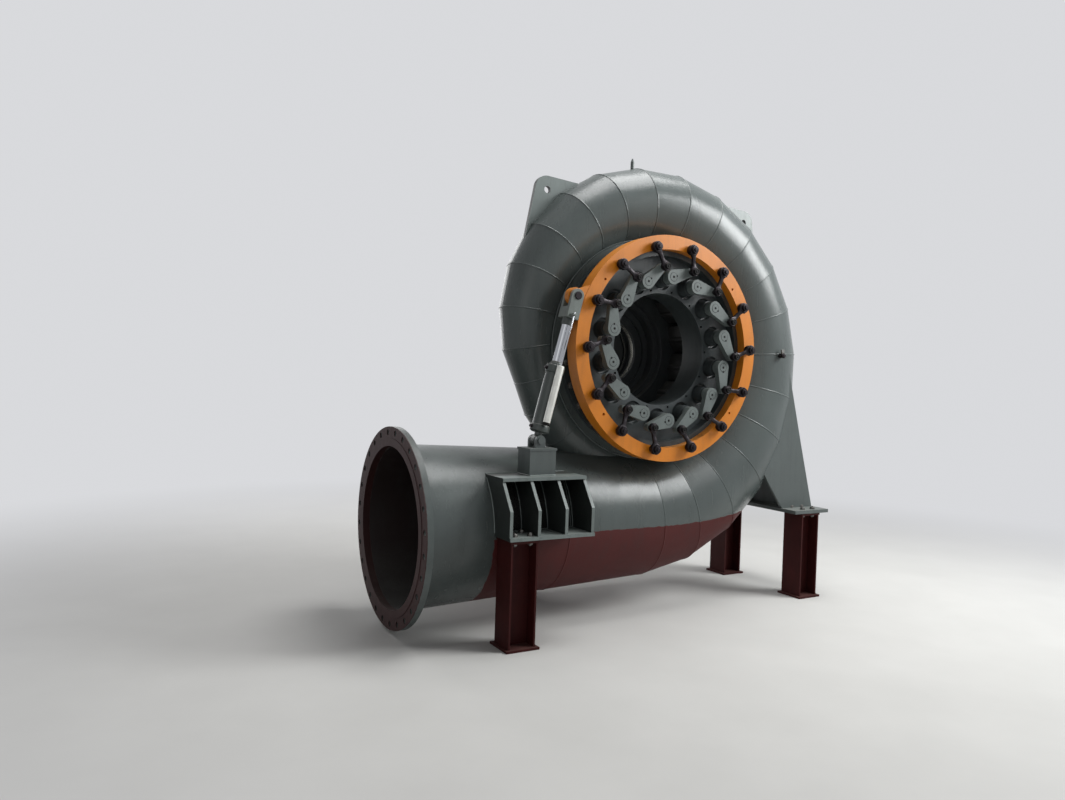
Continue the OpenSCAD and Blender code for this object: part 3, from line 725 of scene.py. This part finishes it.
# %% Spacers and heads on the ring, dished floors in the pockets
PIN_HEAD = LINK_Y - 23.2 * MM
DISH_Y = -306 * MM
BUSHING_R, POCKET_R = 54.5, 78.4
pins, floors = Shape(), Shape()
for k in range(VANES):
    pins.place = floors.place = gear_turn(k)
    pins.turned([(0, 0), (25.5, 0), (25.5, -7), (24, -8.6), (0, -8.6)], PIN_AT, RING_FRONT)
    pins.turned([(0, 0), (25, 0), (25, -9.8), (23, -12.2), (0, -13.3)], PIN_AT, PIN_HEAD)
    pins.turned([(0, -12), (15, -12), (15, -18.5), (13, -20), (0, -20)], PIN_AT, PIN_HEAD, 6)
    floors.turned([(BUSHING_R, -16), (BUSHING_R + 3.5, -6), (BUSHING_R + 8.5, 0),
                   (POCKET_R - 7.4, -2), (POCKET_R - 2.4, -10), (POCKET_R, -21), (POCKET_R, 16),
                   (BUSHING_R, 16), (BUSHING_R, -16)], STEM_AT, DISH_Y, 48)
ring_pins = keep("ring_pin_heads", pins, [black_steel], "regulating_ring")
pocket_floors = keep("pocket_floors", floors, [cover_grey], "case")
print("ring pins and pocket floors", VANES)

# %% [markdown]
# ## Cock on the right flank
#
# A small cock is screwed into a boss on the front of the flank, beside a seam: the
# boss, a hexagon, a round body and a lever. The rigid node is a plain stub a
# little farther back, so this piece replaces it.

# %% Boss, body and lever of the cock
COCK_AT = (1.0964, 0.006)
COCK_Y = -0.376
cock = Shape(Matrix.Translation((AXIS_X, 0, AXIS_Z)))
cock.turned([(0, 10), (19, 10), (17, -8), (0, -8)], COCK_AT, COCK_Y, 28)
cock.turned(rod(19, -7, -22), COCK_AT, COCK_Y, 6)
cock.turned([(0, -21), (14, -21), (17, -28), (19, -40), (12, -48), (0, -48)], COCK_AT, COCK_Y,
            28)
cock.plate(mm([(-11, 10), (-17, 44), (13, 46), (9, 10)], COCK_AT), COCK_Y - 22 * MM,
           COCK_Y - 33 * MM, 1)
flank_cock = keep("flank_cock", cock, [black_steel, zinc_bolt], "case", 0.8 * MM)
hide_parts("drain_cock")
print("cock at", COCK_AT)

# %% [markdown]
# ## Weld beads
#
# The case is rolled plate, mitred every 15 degrees and welded. A bead follows a
# path, which is what Geometry Nodes does well: the script works out the seam as a
# line, and one tree sweeps a round bead along it, with ripples from a noise. The
# seams come from the same rule as the rigid case: each joint holds a sphere, and
# the cones on both sides touch it, so the seam is a flat ellipse.

# %% The rule of the spiral, in metres
CASE_R, NOSE_R, STAY_R = 0.443, 0.158, 0.758
MOUTH_Y, INLET_X, INLET_R = 0.151, 1.777, 0.510
COURSE = math.radians(15)
COURSES = 23
NOSE_FROM = 19
SUNK = 4.5 * MM


def section_r(i):
    """Radius of the section at joint i; -1 is the inlet's face."""
    return INLET_R if i < 0 else max(NOSE_R, CASE_R * (1 - 0.123 * i / 6 - 0.026 * (i / 6) ** 2))


def centre_r(i):
    return STAY_R - 0.007 + math.sqrt(section_r(i) ** 2 - MOUTH_Y ** 2)


def joint(i):
    """Middle of the section at joint i as (x, z) from the shaft."""
    if i < 0:
        return Vector((-INLET_X, -centre_r(0)))
    return Vector((centre_r(i) * math.sin(i * COURSE), -centre_r(i) * math.cos(i * COURSE)))


def heading_of(i):
    return (joint(i + 1) - joint(i)).normalized()


def cone_lean(i):
    return math.asin((section_r(i) - section_r(i + 1)) / (joint(i + 1) - joint(i)).length)


def mitre(i):
    """Unit normal of the mitre plane at joint i and its distance from the joint."""
    n = heading_of(i - 1) / math.cos(cone_lean(i - 1)) + heading_of(i) / math.cos(cone_lean(i))
    return (n.normalized(),
            section_r(i) * (math.tan(cone_lean(i - 1)) + math.tan(cone_lean(i))) / n.length)


def seam_point(i, angle):
    """Point of the seam at joint i; angle 0 is outwards in the middle plane."""
    u, off = mitre(i)
    d, lean, r = heading_of(i), cone_lean(i), section_r(i) - SUNK
    out = Vector((d.y, -d.x))
    c = math.cos(angle)
    s = (off - r / math.cos(lean) * c * out.dot(u)) / (d.dot(u) - math.tan(lean) * c * out.dot(u))
    rho = r / math.cos(lean) - s * math.tan(lean)
    p = joint(i) + d * s + out * (rho * c)
    return Vector((AXIS_X + p.x, rho * math.sin(angle), AXIS_Z + p.y))


PIPE_Z = AXIS_Z - centre_r(0)


def pipe_r(x):
    """Radius of the inlet pipe, measured square to its wall, at a place along X."""
    return INLET_R + (CASE_R - INLET_R) * (x + INLET_X) / INLET_X


def wall_r(x):
    """Radius of the pipe, measured square to its middle line."""
    return pipe_r(x) / math.cos(cone_lean(-1))


def inside_pipe(p):
    """True where a point lies inside the tapered inlet pipe."""
    x = p.x - AXIS_X
    return -INLET_X <= x <= 0 and math.hypot(p.y, p.z - PIPE_Z) < pipe_r(x) - 0.004


# %% Seam lines of the case
seams = []
SEAM_STEPS = 144
PIPE_END = -0.760
FLANGE_BACK = -INLET_X + 0.050
for i in range(COURSES):
    line = []
    for angle in spaced(-math.pi, math.pi, SEAM_STEPS):
        p = seam_point(i, angle)
        outside = math.hypot(p.x - AXIS_X, p.z - AXIS_Z) > STAY_R - 0.004
        if outside and not (i >= NOSE_FROM and inside_pipe(p)):
            line.append(p)
        elif line:
            if len(line) > 2:
                seams.append(line)
            line = []
    if len(line) > 2:
        seams.append(line)


def circle(middle, radius, axis, count=120):
    """Points of a circle about a line along X or Y."""
    points = []
    for a in spaced(0, math.tau, count):
        across, up = radius * math.cos(a), radius * math.sin(a)
        out = (0, across, up) if axis == "X" else (across, 0, up)
        points.append(Vector(middle) + Vector(out))
    return points


# stay ring to case on both sides, then the pipe's seam and the flange's neck
for side in (-1, 1):
    seams.append(circle((AXIS_X, side * (MOUTH_Y + 0.019), AXIS_Z), STAY_R - 0.002, "Y"))
for x in (PIPE_END, FLANGE_BACK):
    seams.append(circle((AXIS_X + x, 0, PIPE_Z), wall_r(x) - SUNK, "X"))
print("seams of the case", len(seams))

# %% [markdown]
# The feet, brackets and lugs are welded on with fillets. Their lines follow the
# outside of the pipe where a rib's face or a level plate meets it, or the outline
# of the courses where a lug stands in the middle plane.

# %% Fillet lines of the brackets, lugs and pedestal
SEAT_Z, BRACKET_TOP_Z, PLATE = 0.635, 0.985, 0.020
RIB_HALF, LUG_HALF = 0.010, 0.015
BRACKET_X, BRACKET_W, RIBS = -1.012, 0.575, 4
BACK_X, BACK_RIB, BACK_HALF = -0.600, 0.110, 0.130
PEDESTAL_X, PEDESTAL_Y = (-1.090, -0.910), (-0.515, -0.365)
LINE_STEPS = 24
fillets = []


def rib_fillets(rib_x, front):
    """Two lines where the faces of an upright rib meet the pipe; front is -1 or 1."""
    for face in (-1, 1):
        x = rib_x + face * RIB_HALF
        radius = wall_r(x)
        low, high = (math.asin(max(-1, min(1, (z - PIPE_Z) / radius)))
                     for z in (SEAT_Z + PLATE, BRACKET_TOP_Z - PLATE))
        fillets.append([Vector((AXIS_X + x + face * MM, front * (radius + MM) * math.cos(a),
                                PIPE_Z + (radius + MM) * math.sin(a)))
                        for a in spaced(low, high, LINE_STEPS)])


def plate_fillets(middle, half, z, front):
    """Line where a level plate's upper or lower face meets the pipe."""
    line = []
    for x in spaced(middle - half, middle + half, LINE_STEPS):
        y = math.sqrt(max(wall_r(x) ** 2 - (z - PIPE_Z) ** 2, 0))
        line.append(Vector((AXIS_X + x, front * y, z)))
    fillets.append(line)


OUTER_RIB = BRACKET_W / 2 - RIB_HALF
for x in spaced(BRACKET_X - OUTER_RIB, BRACKET_X + OUTER_RIB, RIBS - 1):
    rib_fillets(x, -1)
for side in (-1, 1):
    rib_fillets(BACK_X + side * BACK_RIB, 1)
for z in (SEAT_Z + PLATE + MM, BRACKET_TOP_Z - PLATE - MM, BRACKET_TOP_Z + MM):
    plate_fillets(BRACKET_X, BRACKET_W / 2, z, -1)
    plate_fillets(BACK_X, BACK_HALF, z, 1)
# a lug stands on the outer corners of the courses from its first to its last joint
for first, last in ((7, 9), (13, 15)):
    for side in (-1, 1):
        corners = [seam_point(i, 0.0) for i in range(first, last + 1)]
        fillets.append([Vector((p.x, side * (LUG_HALF + 2 * MM), p.z)) for p in corners])
(px0, px1), (py0, py1) = PEDESTAL_X, PEDESTAL_Y
fillets.append([Vector((AXIS_X + x, y, BRACKET_TOP_Z + 2 * MM))
                for x, y in ((px0, py0), (px1, py0), (px1, py1), (px0, py1), (px0, py0))])
print("fillets", len(fillets))

# %% Geometry Nodes tree that lays a bead along a line
net, given, wanted = new_group("GeometryNodeTree", "weld_bead", {
    "Geometry": "Geometry", "Bead Radius": 7 * MM, "Spacing": 10 * MM, "Ripple": 1.2 * MM,
    "Finish": "Material"}, {"Geometry": "Geometry"})
lines = net.put("GeometryNodeMeshToCurve", {"Mesh": given["Geometry"]})
even = net.put("GeometryNodeResampleCurve", {"Curve": lines, "Length": given["Spacing"]},
               mode="LENGTH")
section = net.put("GeometryNodeCurvePrimitiveCircle", {"Resolution": 6,
                                                       "Radius": given["Bead Radius"]})
swept = net.put("GeometryNodeCurveToMesh", {"Curve": even, "Profile Curve": section,
                                            "Fill Caps": True})
grain = net.put("ShaderNodeTexNoise", {"Scale": 130.0, "Detail": 2.0})
push = net.mul(net.ramp(grain, 0.3, 0.7, -1.0, 1.0), given["Ripple"])
shift = net.vector("SCALE", net.put("GeometryNodeInputNormal"), push)
moved = net.put("GeometryNodeSetPosition", {"Geometry": swept, "Offset": shift})


def end_tree(net, geometry, finish, wanted):
    """Make the geometry real, with the finish that the modifier is given."""
    real = net.put("GeometryNodeRealizeInstances", {"Geometry": geometry})
    net.feed(wanted[0], net.put("GeometryNodeSetMaterial", {"Geometry": real,
                                                            "Material": finish}))


end_tree(net, net.put("GeometryNodeSetShadeSmooth", {"Geometry": moved}), given["Finish"], wanted)
bead_tree = net.tree


def run_tree(name, points, edges, tree, values, facing=()):
    """Run a tree once on points and edges, keep the result as a mesh and let it ride."""
    mesh = bpy.data.meshes.new(name + "_source")
    mesh.from_pydata(points, edges, [])
    if facing:
        data = mesh.attributes.new("facing", "FLOAT_VECTOR", "POINT").data
        for k, direction in enumerate(facing):
            data[k].vector = direction
    piece = bpy.data.objects.new(name, mesh)
    bpy.context.scene.collection.objects.link(piece)
    modifier = piece.modifiers.new("build", "NODES")
    modifier.node_group = tree
    for item in tree.interface.items_tree:
        if item.in_out == "INPUT" and item.name in values:
            modifier[item.identifier] = values[item.name]
    graph = bpy.context.evaluated_depsgraph_get()
    result = bpy.data.meshes.new_from_object(piece.evaluated_get(graph))
    piece.modifiers.clear()
    piece.data = result
    result.name = name
    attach(piece, "case")
    print(name, "has", len(result.polygons), "faces")
    return piece


# %% Lay the beads
def lay_beads(name, polylines, radius, spacing, ripple, finish):
    """Lay a bead along each line; sizes in millimetres."""
    points, edges = [], []
    for line in polylines:
        edges += [(len(points) + k, len(points) + k + 1) for k in range(len(line) - 1)]
        points += line
    beads = run_tree(name, points, edges, bead_tree,
                     {"Bead Radius": radius * MM, "Spacing": spacing * MM, "Ripple": ripple * MM,
                      "Finish": finish})


lay_beads("seam_beads", seams, 7.5, 11, 1.1, case_grey)
lay_beads("fillet_beads", fillets, 5.5, 9, 0.9, bracket_paint_and_shade)

# %% [markdown]
# ## Bolts
#
# Bolts repeat by the dozen, so one Geometry Nodes tree puts a hexagon head with
# its washer and the stub of the thread on every point it is given. Each point
# carries the direction the bolt looks in, stored as an attribute on the mesh.

# %% Geometry Nodes tree that sets bolts on points
net, given, wanted = new_group("GeometryNodeTree", "hex_bolts", {
    "Geometry": "Geometry", "Across Flats": 36 * MM, "Head Height": 15 * MM, "Seed": 7,
    "Finish": "Material"}, {"Geometry": "Geometry"})
CORNERS_PER_FLATS = 0.577
corner_r, height = net.mul(given["Across Flats"], CORNERS_PER_FLATS), given["Head Height"]
# head, its chamfer, washer and the thread's end: solid, its sizes, height of its middle
BOLT_PARTS = (
    ("Cylinder", {"Vertices": 6, "Radius": corner_r, "Depth": net.mul(height, 0.8)},
     net.add(net.mul(height, 0.4), 3 * MM)),
    ("Cone", {"Vertices": 6, "Radius Bottom": corner_r, "Radius Top": net.mul(corner_r, 0.82),
              "Depth": net.mul(height, 0.2)}, net.add(net.mul(height, 0.8), 3 * MM)),
    ("Cylinder", {"Vertices": 20, "Radius": net.mul(corner_r, 1.12), "Depth": 3.5 * MM}, 1.5 * MM),
    ("Cylinder", {"Vertices": 12, "Radius": net.mul(corner_r, 0.5), "Depth": 8 * MM},
     net.add(height, 4 * MM)),
)
stack = net.put("GeometryNodeJoinGeometry")
for solid, sizes, middle in BOLT_PARTS:
    net.feed(stack.inputs[0], net.put("GeometryNodeTransform", {
        "Geometry": net.put("GeometryNodeMesh" + solid, sizes),
        "Translation": net.put("ShaderNodeCombineXYZ", {"Z": middle})}))
facing = net.put("GeometryNodeInputNamedAttribute", {"Name": "facing"}, data_type="FLOAT_VECTOR")
aim = net.put("FunctionNodeAlignRotationToVector", {"Vector": facing}, axis="Z")
spin = net.put("FunctionNodeRandomValue", {2: 0.0, 3: 6.28, "Seed": given["Seed"]},
               data_type="FLOAT").outputs[1]
twist = net.put("FunctionNodeAxisAngleToRotation", {"Axis": (0, 0, 1), "Angle": spin})
heading = net.put("FunctionNodeRotateRotation", {0: aim, 1: twist}, rotation_space="LOCAL")
placed = net.put("GeometryNodeInstanceOnPoints", {"Points": given["Geometry"],
                                                  "Instance": stack, "Rotation": heading})
end_tree(net, placed, given["Finish"], wanted)
bolt_tree = net.tree

# %% Set the bolts
COVER_FLANGE_Y, COVER_BOLT_R, COVER_BOLTS, FIRST_BOLT = 0.206, 0.682, 28, 0.05
LEG_X, LEG_Y, RIGHT_X, RIGHT_Y = -1.195, 0.588, 1.365, 0.400
FOOT_PLATE, LEG_PLATE = 0.025, 0.016
BOLT_DX, BOLT_DY = 0.052, 0.055


def set_bolts(name, places, flats, head, seed):
    """Set bolts on (point, direction) pairs; sizes in millimetres."""
    points, directions = zip(*places)
    bolts = run_tree(name, points, [], bolt_tree,
                     {"Across Flats": flats * MM, "Head Height": head * MM, "Seed": seed,
                      "Finish": zinc_bolt}, directions)


cover_bolts = []
for side in (-1, 1):
    for k in range(COVER_BOLTS):
        spot = on_circle(COVER_BOLT_R, math.degrees(FIRST_BOLT + math.tau * k / COVER_BOLTS))
        cover_bolts.append(((AXIS_X + spot.x, side * COVER_FLANGE_Y, AXIS_Z + spot.y),
                            (0, side, 0)))
set_bolts("cover_bolts", cover_bolts, 36, 15, 3)
foot_bolts = []
for x, y in ((LEG_X, -LEG_Y), (BACK_X, LEG_Y), (RIGHT_X, -RIGHT_Y), (RIGHT_X, RIGHT_Y)):
    plate_top = SEAT_Z + (FOOT_PLATE if x == RIGHT_X else PLATE)
    for dx in (-BOLT_DX, BOLT_DX):
        for dy in (-BOLT_DY, BOLT_DY):
            for z, up in ((plate_top, 1), (SEAT_Z - LEG_PLATE, -1)):
                foot_bolts.append(((AXIS_X + x + dx, y + dy, z), (0, 0, up)))
set_bolts("foot_bolts", foot_bolts, 30, 13, 5)

# %% [markdown]
# ## Servomotor
#
# The servomotor is a slim hydraulic cylinder: a round barrel between two round caps,
# an eye at its foot and a chromed rod. The rigid node has square end blocks, which
# are strong enough for a model that collides but heavier than the real ones, so
# this turned cylinder replaces it. It gets cap screws, a bright gland where the rod
# leaves, and ports closed with plugs, because the hoses lead away and are left out.

# %% Line of the servomotor, from its base pin to the ear of the ring
SERVO_Y = -0.430
BASE = Vector((AXIS_X - 1.000, SERVO_Y, 1.192))
ear = on_circle(0.820, -69.3)
servo_line = Vector((AXIS_X + ear.x, SERVO_Y, AXIS_Z + ear.y)) - BASE
SERVO_LEN = servo_line.length
SERVO_TILT = Matrix.Rotation(math.atan2(servo_line.x, servo_line.z), 4, "Y")
servo_turn = Matrix.Translation(BASE) @ SERVO_TILT
print("servomotor line %.3f m" % SERVO_LEN)


def standing(x=0.0, y=0.0):
    """Place of a part that is turned about the servomotor's line, or beside it."""
    return servo_turn @ Matrix.Translation((x, y, 0)) @ Matrix.Rotation(math.radians(90), 4, "X")


# %% Barrel, caps, eye, gland and plugs
BARREL_R, CAP_R, ROD_R = 54, 60, 31
ROD_HOLE, BARREL_BORE = ROD_R + 0.1, 50.4
SCREWS, SCREW_CIRCLE = 8, 52 * MM
PORT_X, PORTS = -58 * MM, (78 * MM, 448 * MM)
barrel = Shape(standing())
# lower cap, barrel and upper cap are one turned wall, open where the rod runs
barrel.turned([(0, 50), (46, 50), (CAP_R - 3, 56), (CAP_R, 60), (CAP_R, 94), (CAP_R - 2, 97),
               (BARREL_R, 99), (BARREL_R, 424), (CAP_R - 2, 426), (CAP_R, 429), (CAP_R, 470),
               (CAP_R - 3, 474), (46, 476), (43, 486), (38, 488), (36, 494), (ROD_HOLE, 494),
               (ROD_HOLE, 442), (BARREL_BORE, 442), (BARREL_BORE, 79), (0, 79)], sides=48)
# gland ring round the rod, then the neck between lower cap and eye
barrel.turned([(ROD_HOLE, 493), (35, 493), (35, 499), (ROD_HOLE, 501), (ROD_HOLE, 493)],
              sides=40, slot=1)
barrel.turned([(0, 29), (22, 29), (24, 34), (24, 53), (0, 53)], sides=28)
# cap screws on the upper shoulder
for k in range(SCREWS):
    a = math.tau * (k + 0.5) / SCREWS
    barrel.place = standing(SCREW_CIRCLE * math.cos(a), SCREW_CIRCLE * math.sin(a))
    barrel.turned([(0, 470), (4.4, 470), (4.4, 478.5), (3.6, 479.5), (0, 479.5)], sides=12,
                  slot=1)
# eye on the base pin
barrel.place = servo_turn
barrel.turned([(20.4, 24), (33, 24), (35, 22), (35, -22), (33, -24), (20.4, -24), (20.4, 24)],
              sides=40)
servo_barrel = keep("servo_barrel", barrel, [servo_green, zinc_bolt], "servo_cylinder", 0.6 * MM)
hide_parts("servo_cylinder")
plugs = Shape()
for z in PORTS:
    plugs.place = (Matrix.Translation(servo_turn @ Vector((PORT_X, 0, z))) @ SERVO_TILT
                   @ Matrix.Rotation(math.radians(-90), 4, "Z"))
    plugs.turned(rod(13, 4, -6), sides=24)
    plugs.turned([(0, -5), (10, -5), (10, -14), (8.5, -16), (0, -16)], sides=6)
servo_ports = keep("servo_port_plugs", plugs, [black_steel], "servo_cylinder", 0.6 * MM)

# %% [markdown]
# The rod is one turned chromed bar, and the fork on its end holds the ear of the
# ring between two cheeks. The position sensor is a pale tube in front of the
# barrel: a thin rod, held by an arm on the fork, runs into it. Both rigid nodes are
# plainer, so the turned pieces replace them.

# %% Rod, sensor rod and sensor tube
FORK_LOW = 782
SENSOR_X, SENSOR_Y, TUBE_R = -12, -82, 22.5
beside = standing(SENSOR_X * MM, SENSOR_Y * MM)
rods = Shape(standing())
rods.turned(rod(ROD_R, 372, FORK_LOW - 20), sides=56)
rods.place = beside
rods.turned([(0, 332), (5, 332), (5, 810), (4, 812), (0, 812)], sides=16)
chrome_rod = keep("chrome_rod", rods, [chrome], "servo_rod")
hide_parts("servo_rod")
tube = Shape(beside)
tube.turned([(0, 110), (TUBE_R, 110), (TUBE_R, 466), (21, 468), (9, 468), (9, 124), (0, 124)],
            sides=40)
tube.turned([(0, 98), (20, 98), (23.4, 102), (23.4, 114), (0, 114)], sides=40, slot=1)
# two clamps hold the tube to the barrel
tube.place = servo_turn
for z in (150, 410):
    tube.plate(mm([(-24, z), (-24, z + 14), (0, z + 14), (0, z)]), -50 * MM,
               (SENSOR_Y + 12) * MM, 1)
sensor_tube = keep("sensor_tube", tube, [aluminium, pin_black_and_shade], "servo_cylinder", 0.5 * MM)
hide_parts("position_sensor")

# %% Fork, boss, pin and the sensor's arm
CHEEK_HALF, FORK_HALF, SLOT_HALF = 43, 53, 28.5
ARC_STEPS = 16
# the pin is thinner than the ear's hole, its heads are wider
PIN_R, HEAD_R = 20, 25
top = SERVO_LEN / MM
cheek = ([(-CHEEK_HALF, FORK_LOW + 67), (-CHEEK_HALF, top)]
         + [(CHEEK_HALF * math.cos(a), top + CHEEK_HALF * math.sin(a))
            for a in spaced(math.pi, 0, ARC_STEPS)]
         + [(CHEEK_HALF, FORK_LOW + 67)])
fork = Shape(servo_turn)
for y0, y1 in ((-FORK_HALF, -SLOT_HALF), (SLOT_HALF, FORK_HALF)):
    fork.plate(mm(cheek), y1 * MM, y0 * MM)
fork.plate(mm([(-CHEEK_HALF, FORK_LOW - 1), (-CHEEK_HALF, FORK_LOW + 68),
               (CHEEK_HALF, FORK_LOW + 68), (CHEEK_HALF, FORK_LOW - 1)]),
           FORK_HALF * MM, -FORK_HALF * MM)
fork.plate(mm([(SENSOR_X - 11, 790), (SENSOR_X - 11, 804), (SENSOR_X + 11, 804),
               (SENSOR_X + 11, 790)]), -48 * MM, (SENSOR_Y - 10) * MM)
fork.turned([(0, -61), (HEAD_R - 2, -61), (HEAD_R, -59), (HEAD_R, -52.5), (PIN_R, -52.5),
             (PIN_R, 52.5), (HEAD_R, 52.5), (HEAD_R, 59), (HEAD_R - 2, 61), (0, 61)],
            (0, SERVO_LEN), sides=40, slot=2)
fork.place = standing()
fork.turned([(0, FORK_LOW - 46), (33, FORK_LOW - 46), (36, FORK_LOW - 43), (36, FORK_LOW),
             (0, FORK_LOW)], sides=40, slot=1)
servo_fork = keep("servo_fork", fork, [fork_grey, servo_green, black_steel], "servo_rod",
                  2.0 * MM, 3)
print("fork at %.3f m" % (FORK_LOW * MM))

# %% [markdown]
# ## Floor, lights and background
#
# The floor is plain and pale. The strongest lamp stands where the daylight comes
# from in the photograph, high on the right, so the upper right courses carry the
# highlights. Weaker and larger lamps keep the shaded side readable. The
# background is pale only to the camera and in reflections, so it adds little light
# of its own, and the floor fades into it some metres away, so no horizon shows.

# %% Floor
BACKDROP, BACKDROP_LEVEL, ROOM_LEVEL = (0.96, 0.97, 1.0, 1), 0.72, 0.17
REACH, FADE = 60.0, (2.2, 7.5)
floor_mesh = bpy.data.meshes.new("floor")
floor_mesh.from_pydata([(-REACH, -REACH, 0), (REACH, -REACH, 0), (REACH, REACH, 0),
                        (-REACH, REACH, 0)], [], [(0, 1, 2, 3)])
floor = bpy.data.objects.new("floor", floor_mesh)
bpy.context.scene.collection.objects.link(floor)
floor_finish, net, shader, place = start_finish("pale_floor")
tint = net.ramp(net.noise(place, 1.5), 0.3, 0.7)
net.feed(shader.inputs["Base Color"],
         net.mix(tint, colour(196, 195, 192), colour(202, 201, 198)))
net.feed(shader.inputs["Roughness"], 0.75)
far = net.ramp(net.vector("LENGTH", place, give=1), *FADE, kind="SMOOTHSTEP")
path = net.put("ShaderNodeLightPath").outputs
to_eye = net.most(path["Is Camera Ray"], path["Is Glossy Ray"])
glow = net.put("ShaderNodeEmission", {"Color": BACKDROP, "Strength": BACKDROP_LEVEL})
both = net.put("ShaderNodeMixShader", {0: net.mul(far, to_eye), 1: shader, 2: glow})
net.feed(net.tree.nodes["Material Output"].inputs["Surface"], both)
floor_mesh.materials.append(floor_finish)
print("floor fades from %.1f to %.1f m" % FADE)

# %% Lamps and world
AIM = Vector((AXIS_X, 0, 1.5))
# name, place, size in metres, watts, tint
LAMPS = (("window", (5.0, -3.4, 5.0), 3.0, 465, (0.98, 1.0, 1.0)),
         ("far_side", (-5.5, -4.0, 3.0), 3.5, 22, (1.0, 0.99, 0.97)),
         ("overhead", (0.9, -0.4, 6.5), 3.0, 230, (1, 1, 1)),
         ("behind", (-1.0, 6.0, 3.5), 4.0, 110, (1, 1, 1)))
for name, place, size, power, tint in LAMPS:
    data = bpy.data.lights.new(name, "AREA")
    data.shape = "SQUARE"
    data.size, data.energy, data.color = size, power, tint
    light = bpy.data.objects.new(name, data)
    light.location = place
    light.rotation_euler = (AIM - Vector(place)).to_track_quat("-Z", "Y").to_euler()
    bpy.context.scene.collection.objects.link(light)

world = bpy.data.worlds.new("pale_room")
bpy.context.scene.world = world
world.use_nodes = True
net = Net(world.node_tree)
background = net.tree.nodes["Background"]
path = net.put("ShaderNodeLightPath").outputs
seen = net.most(net.most(path["Is Camera Ray"], path["Is Glossy Ray"]),
                path["Is Transmission Ray"])
net.feed(background.inputs["Color"], BACKDROP)
net.feed(background.inputs["Strength"], net.ramp(seen, 0.0, 1.0, ROOM_LEVEL, BACKDROP_LEVEL))
bpy.context.scene.view_settings.view_transform = "Standard"
print("lamps", len(LAMPS))
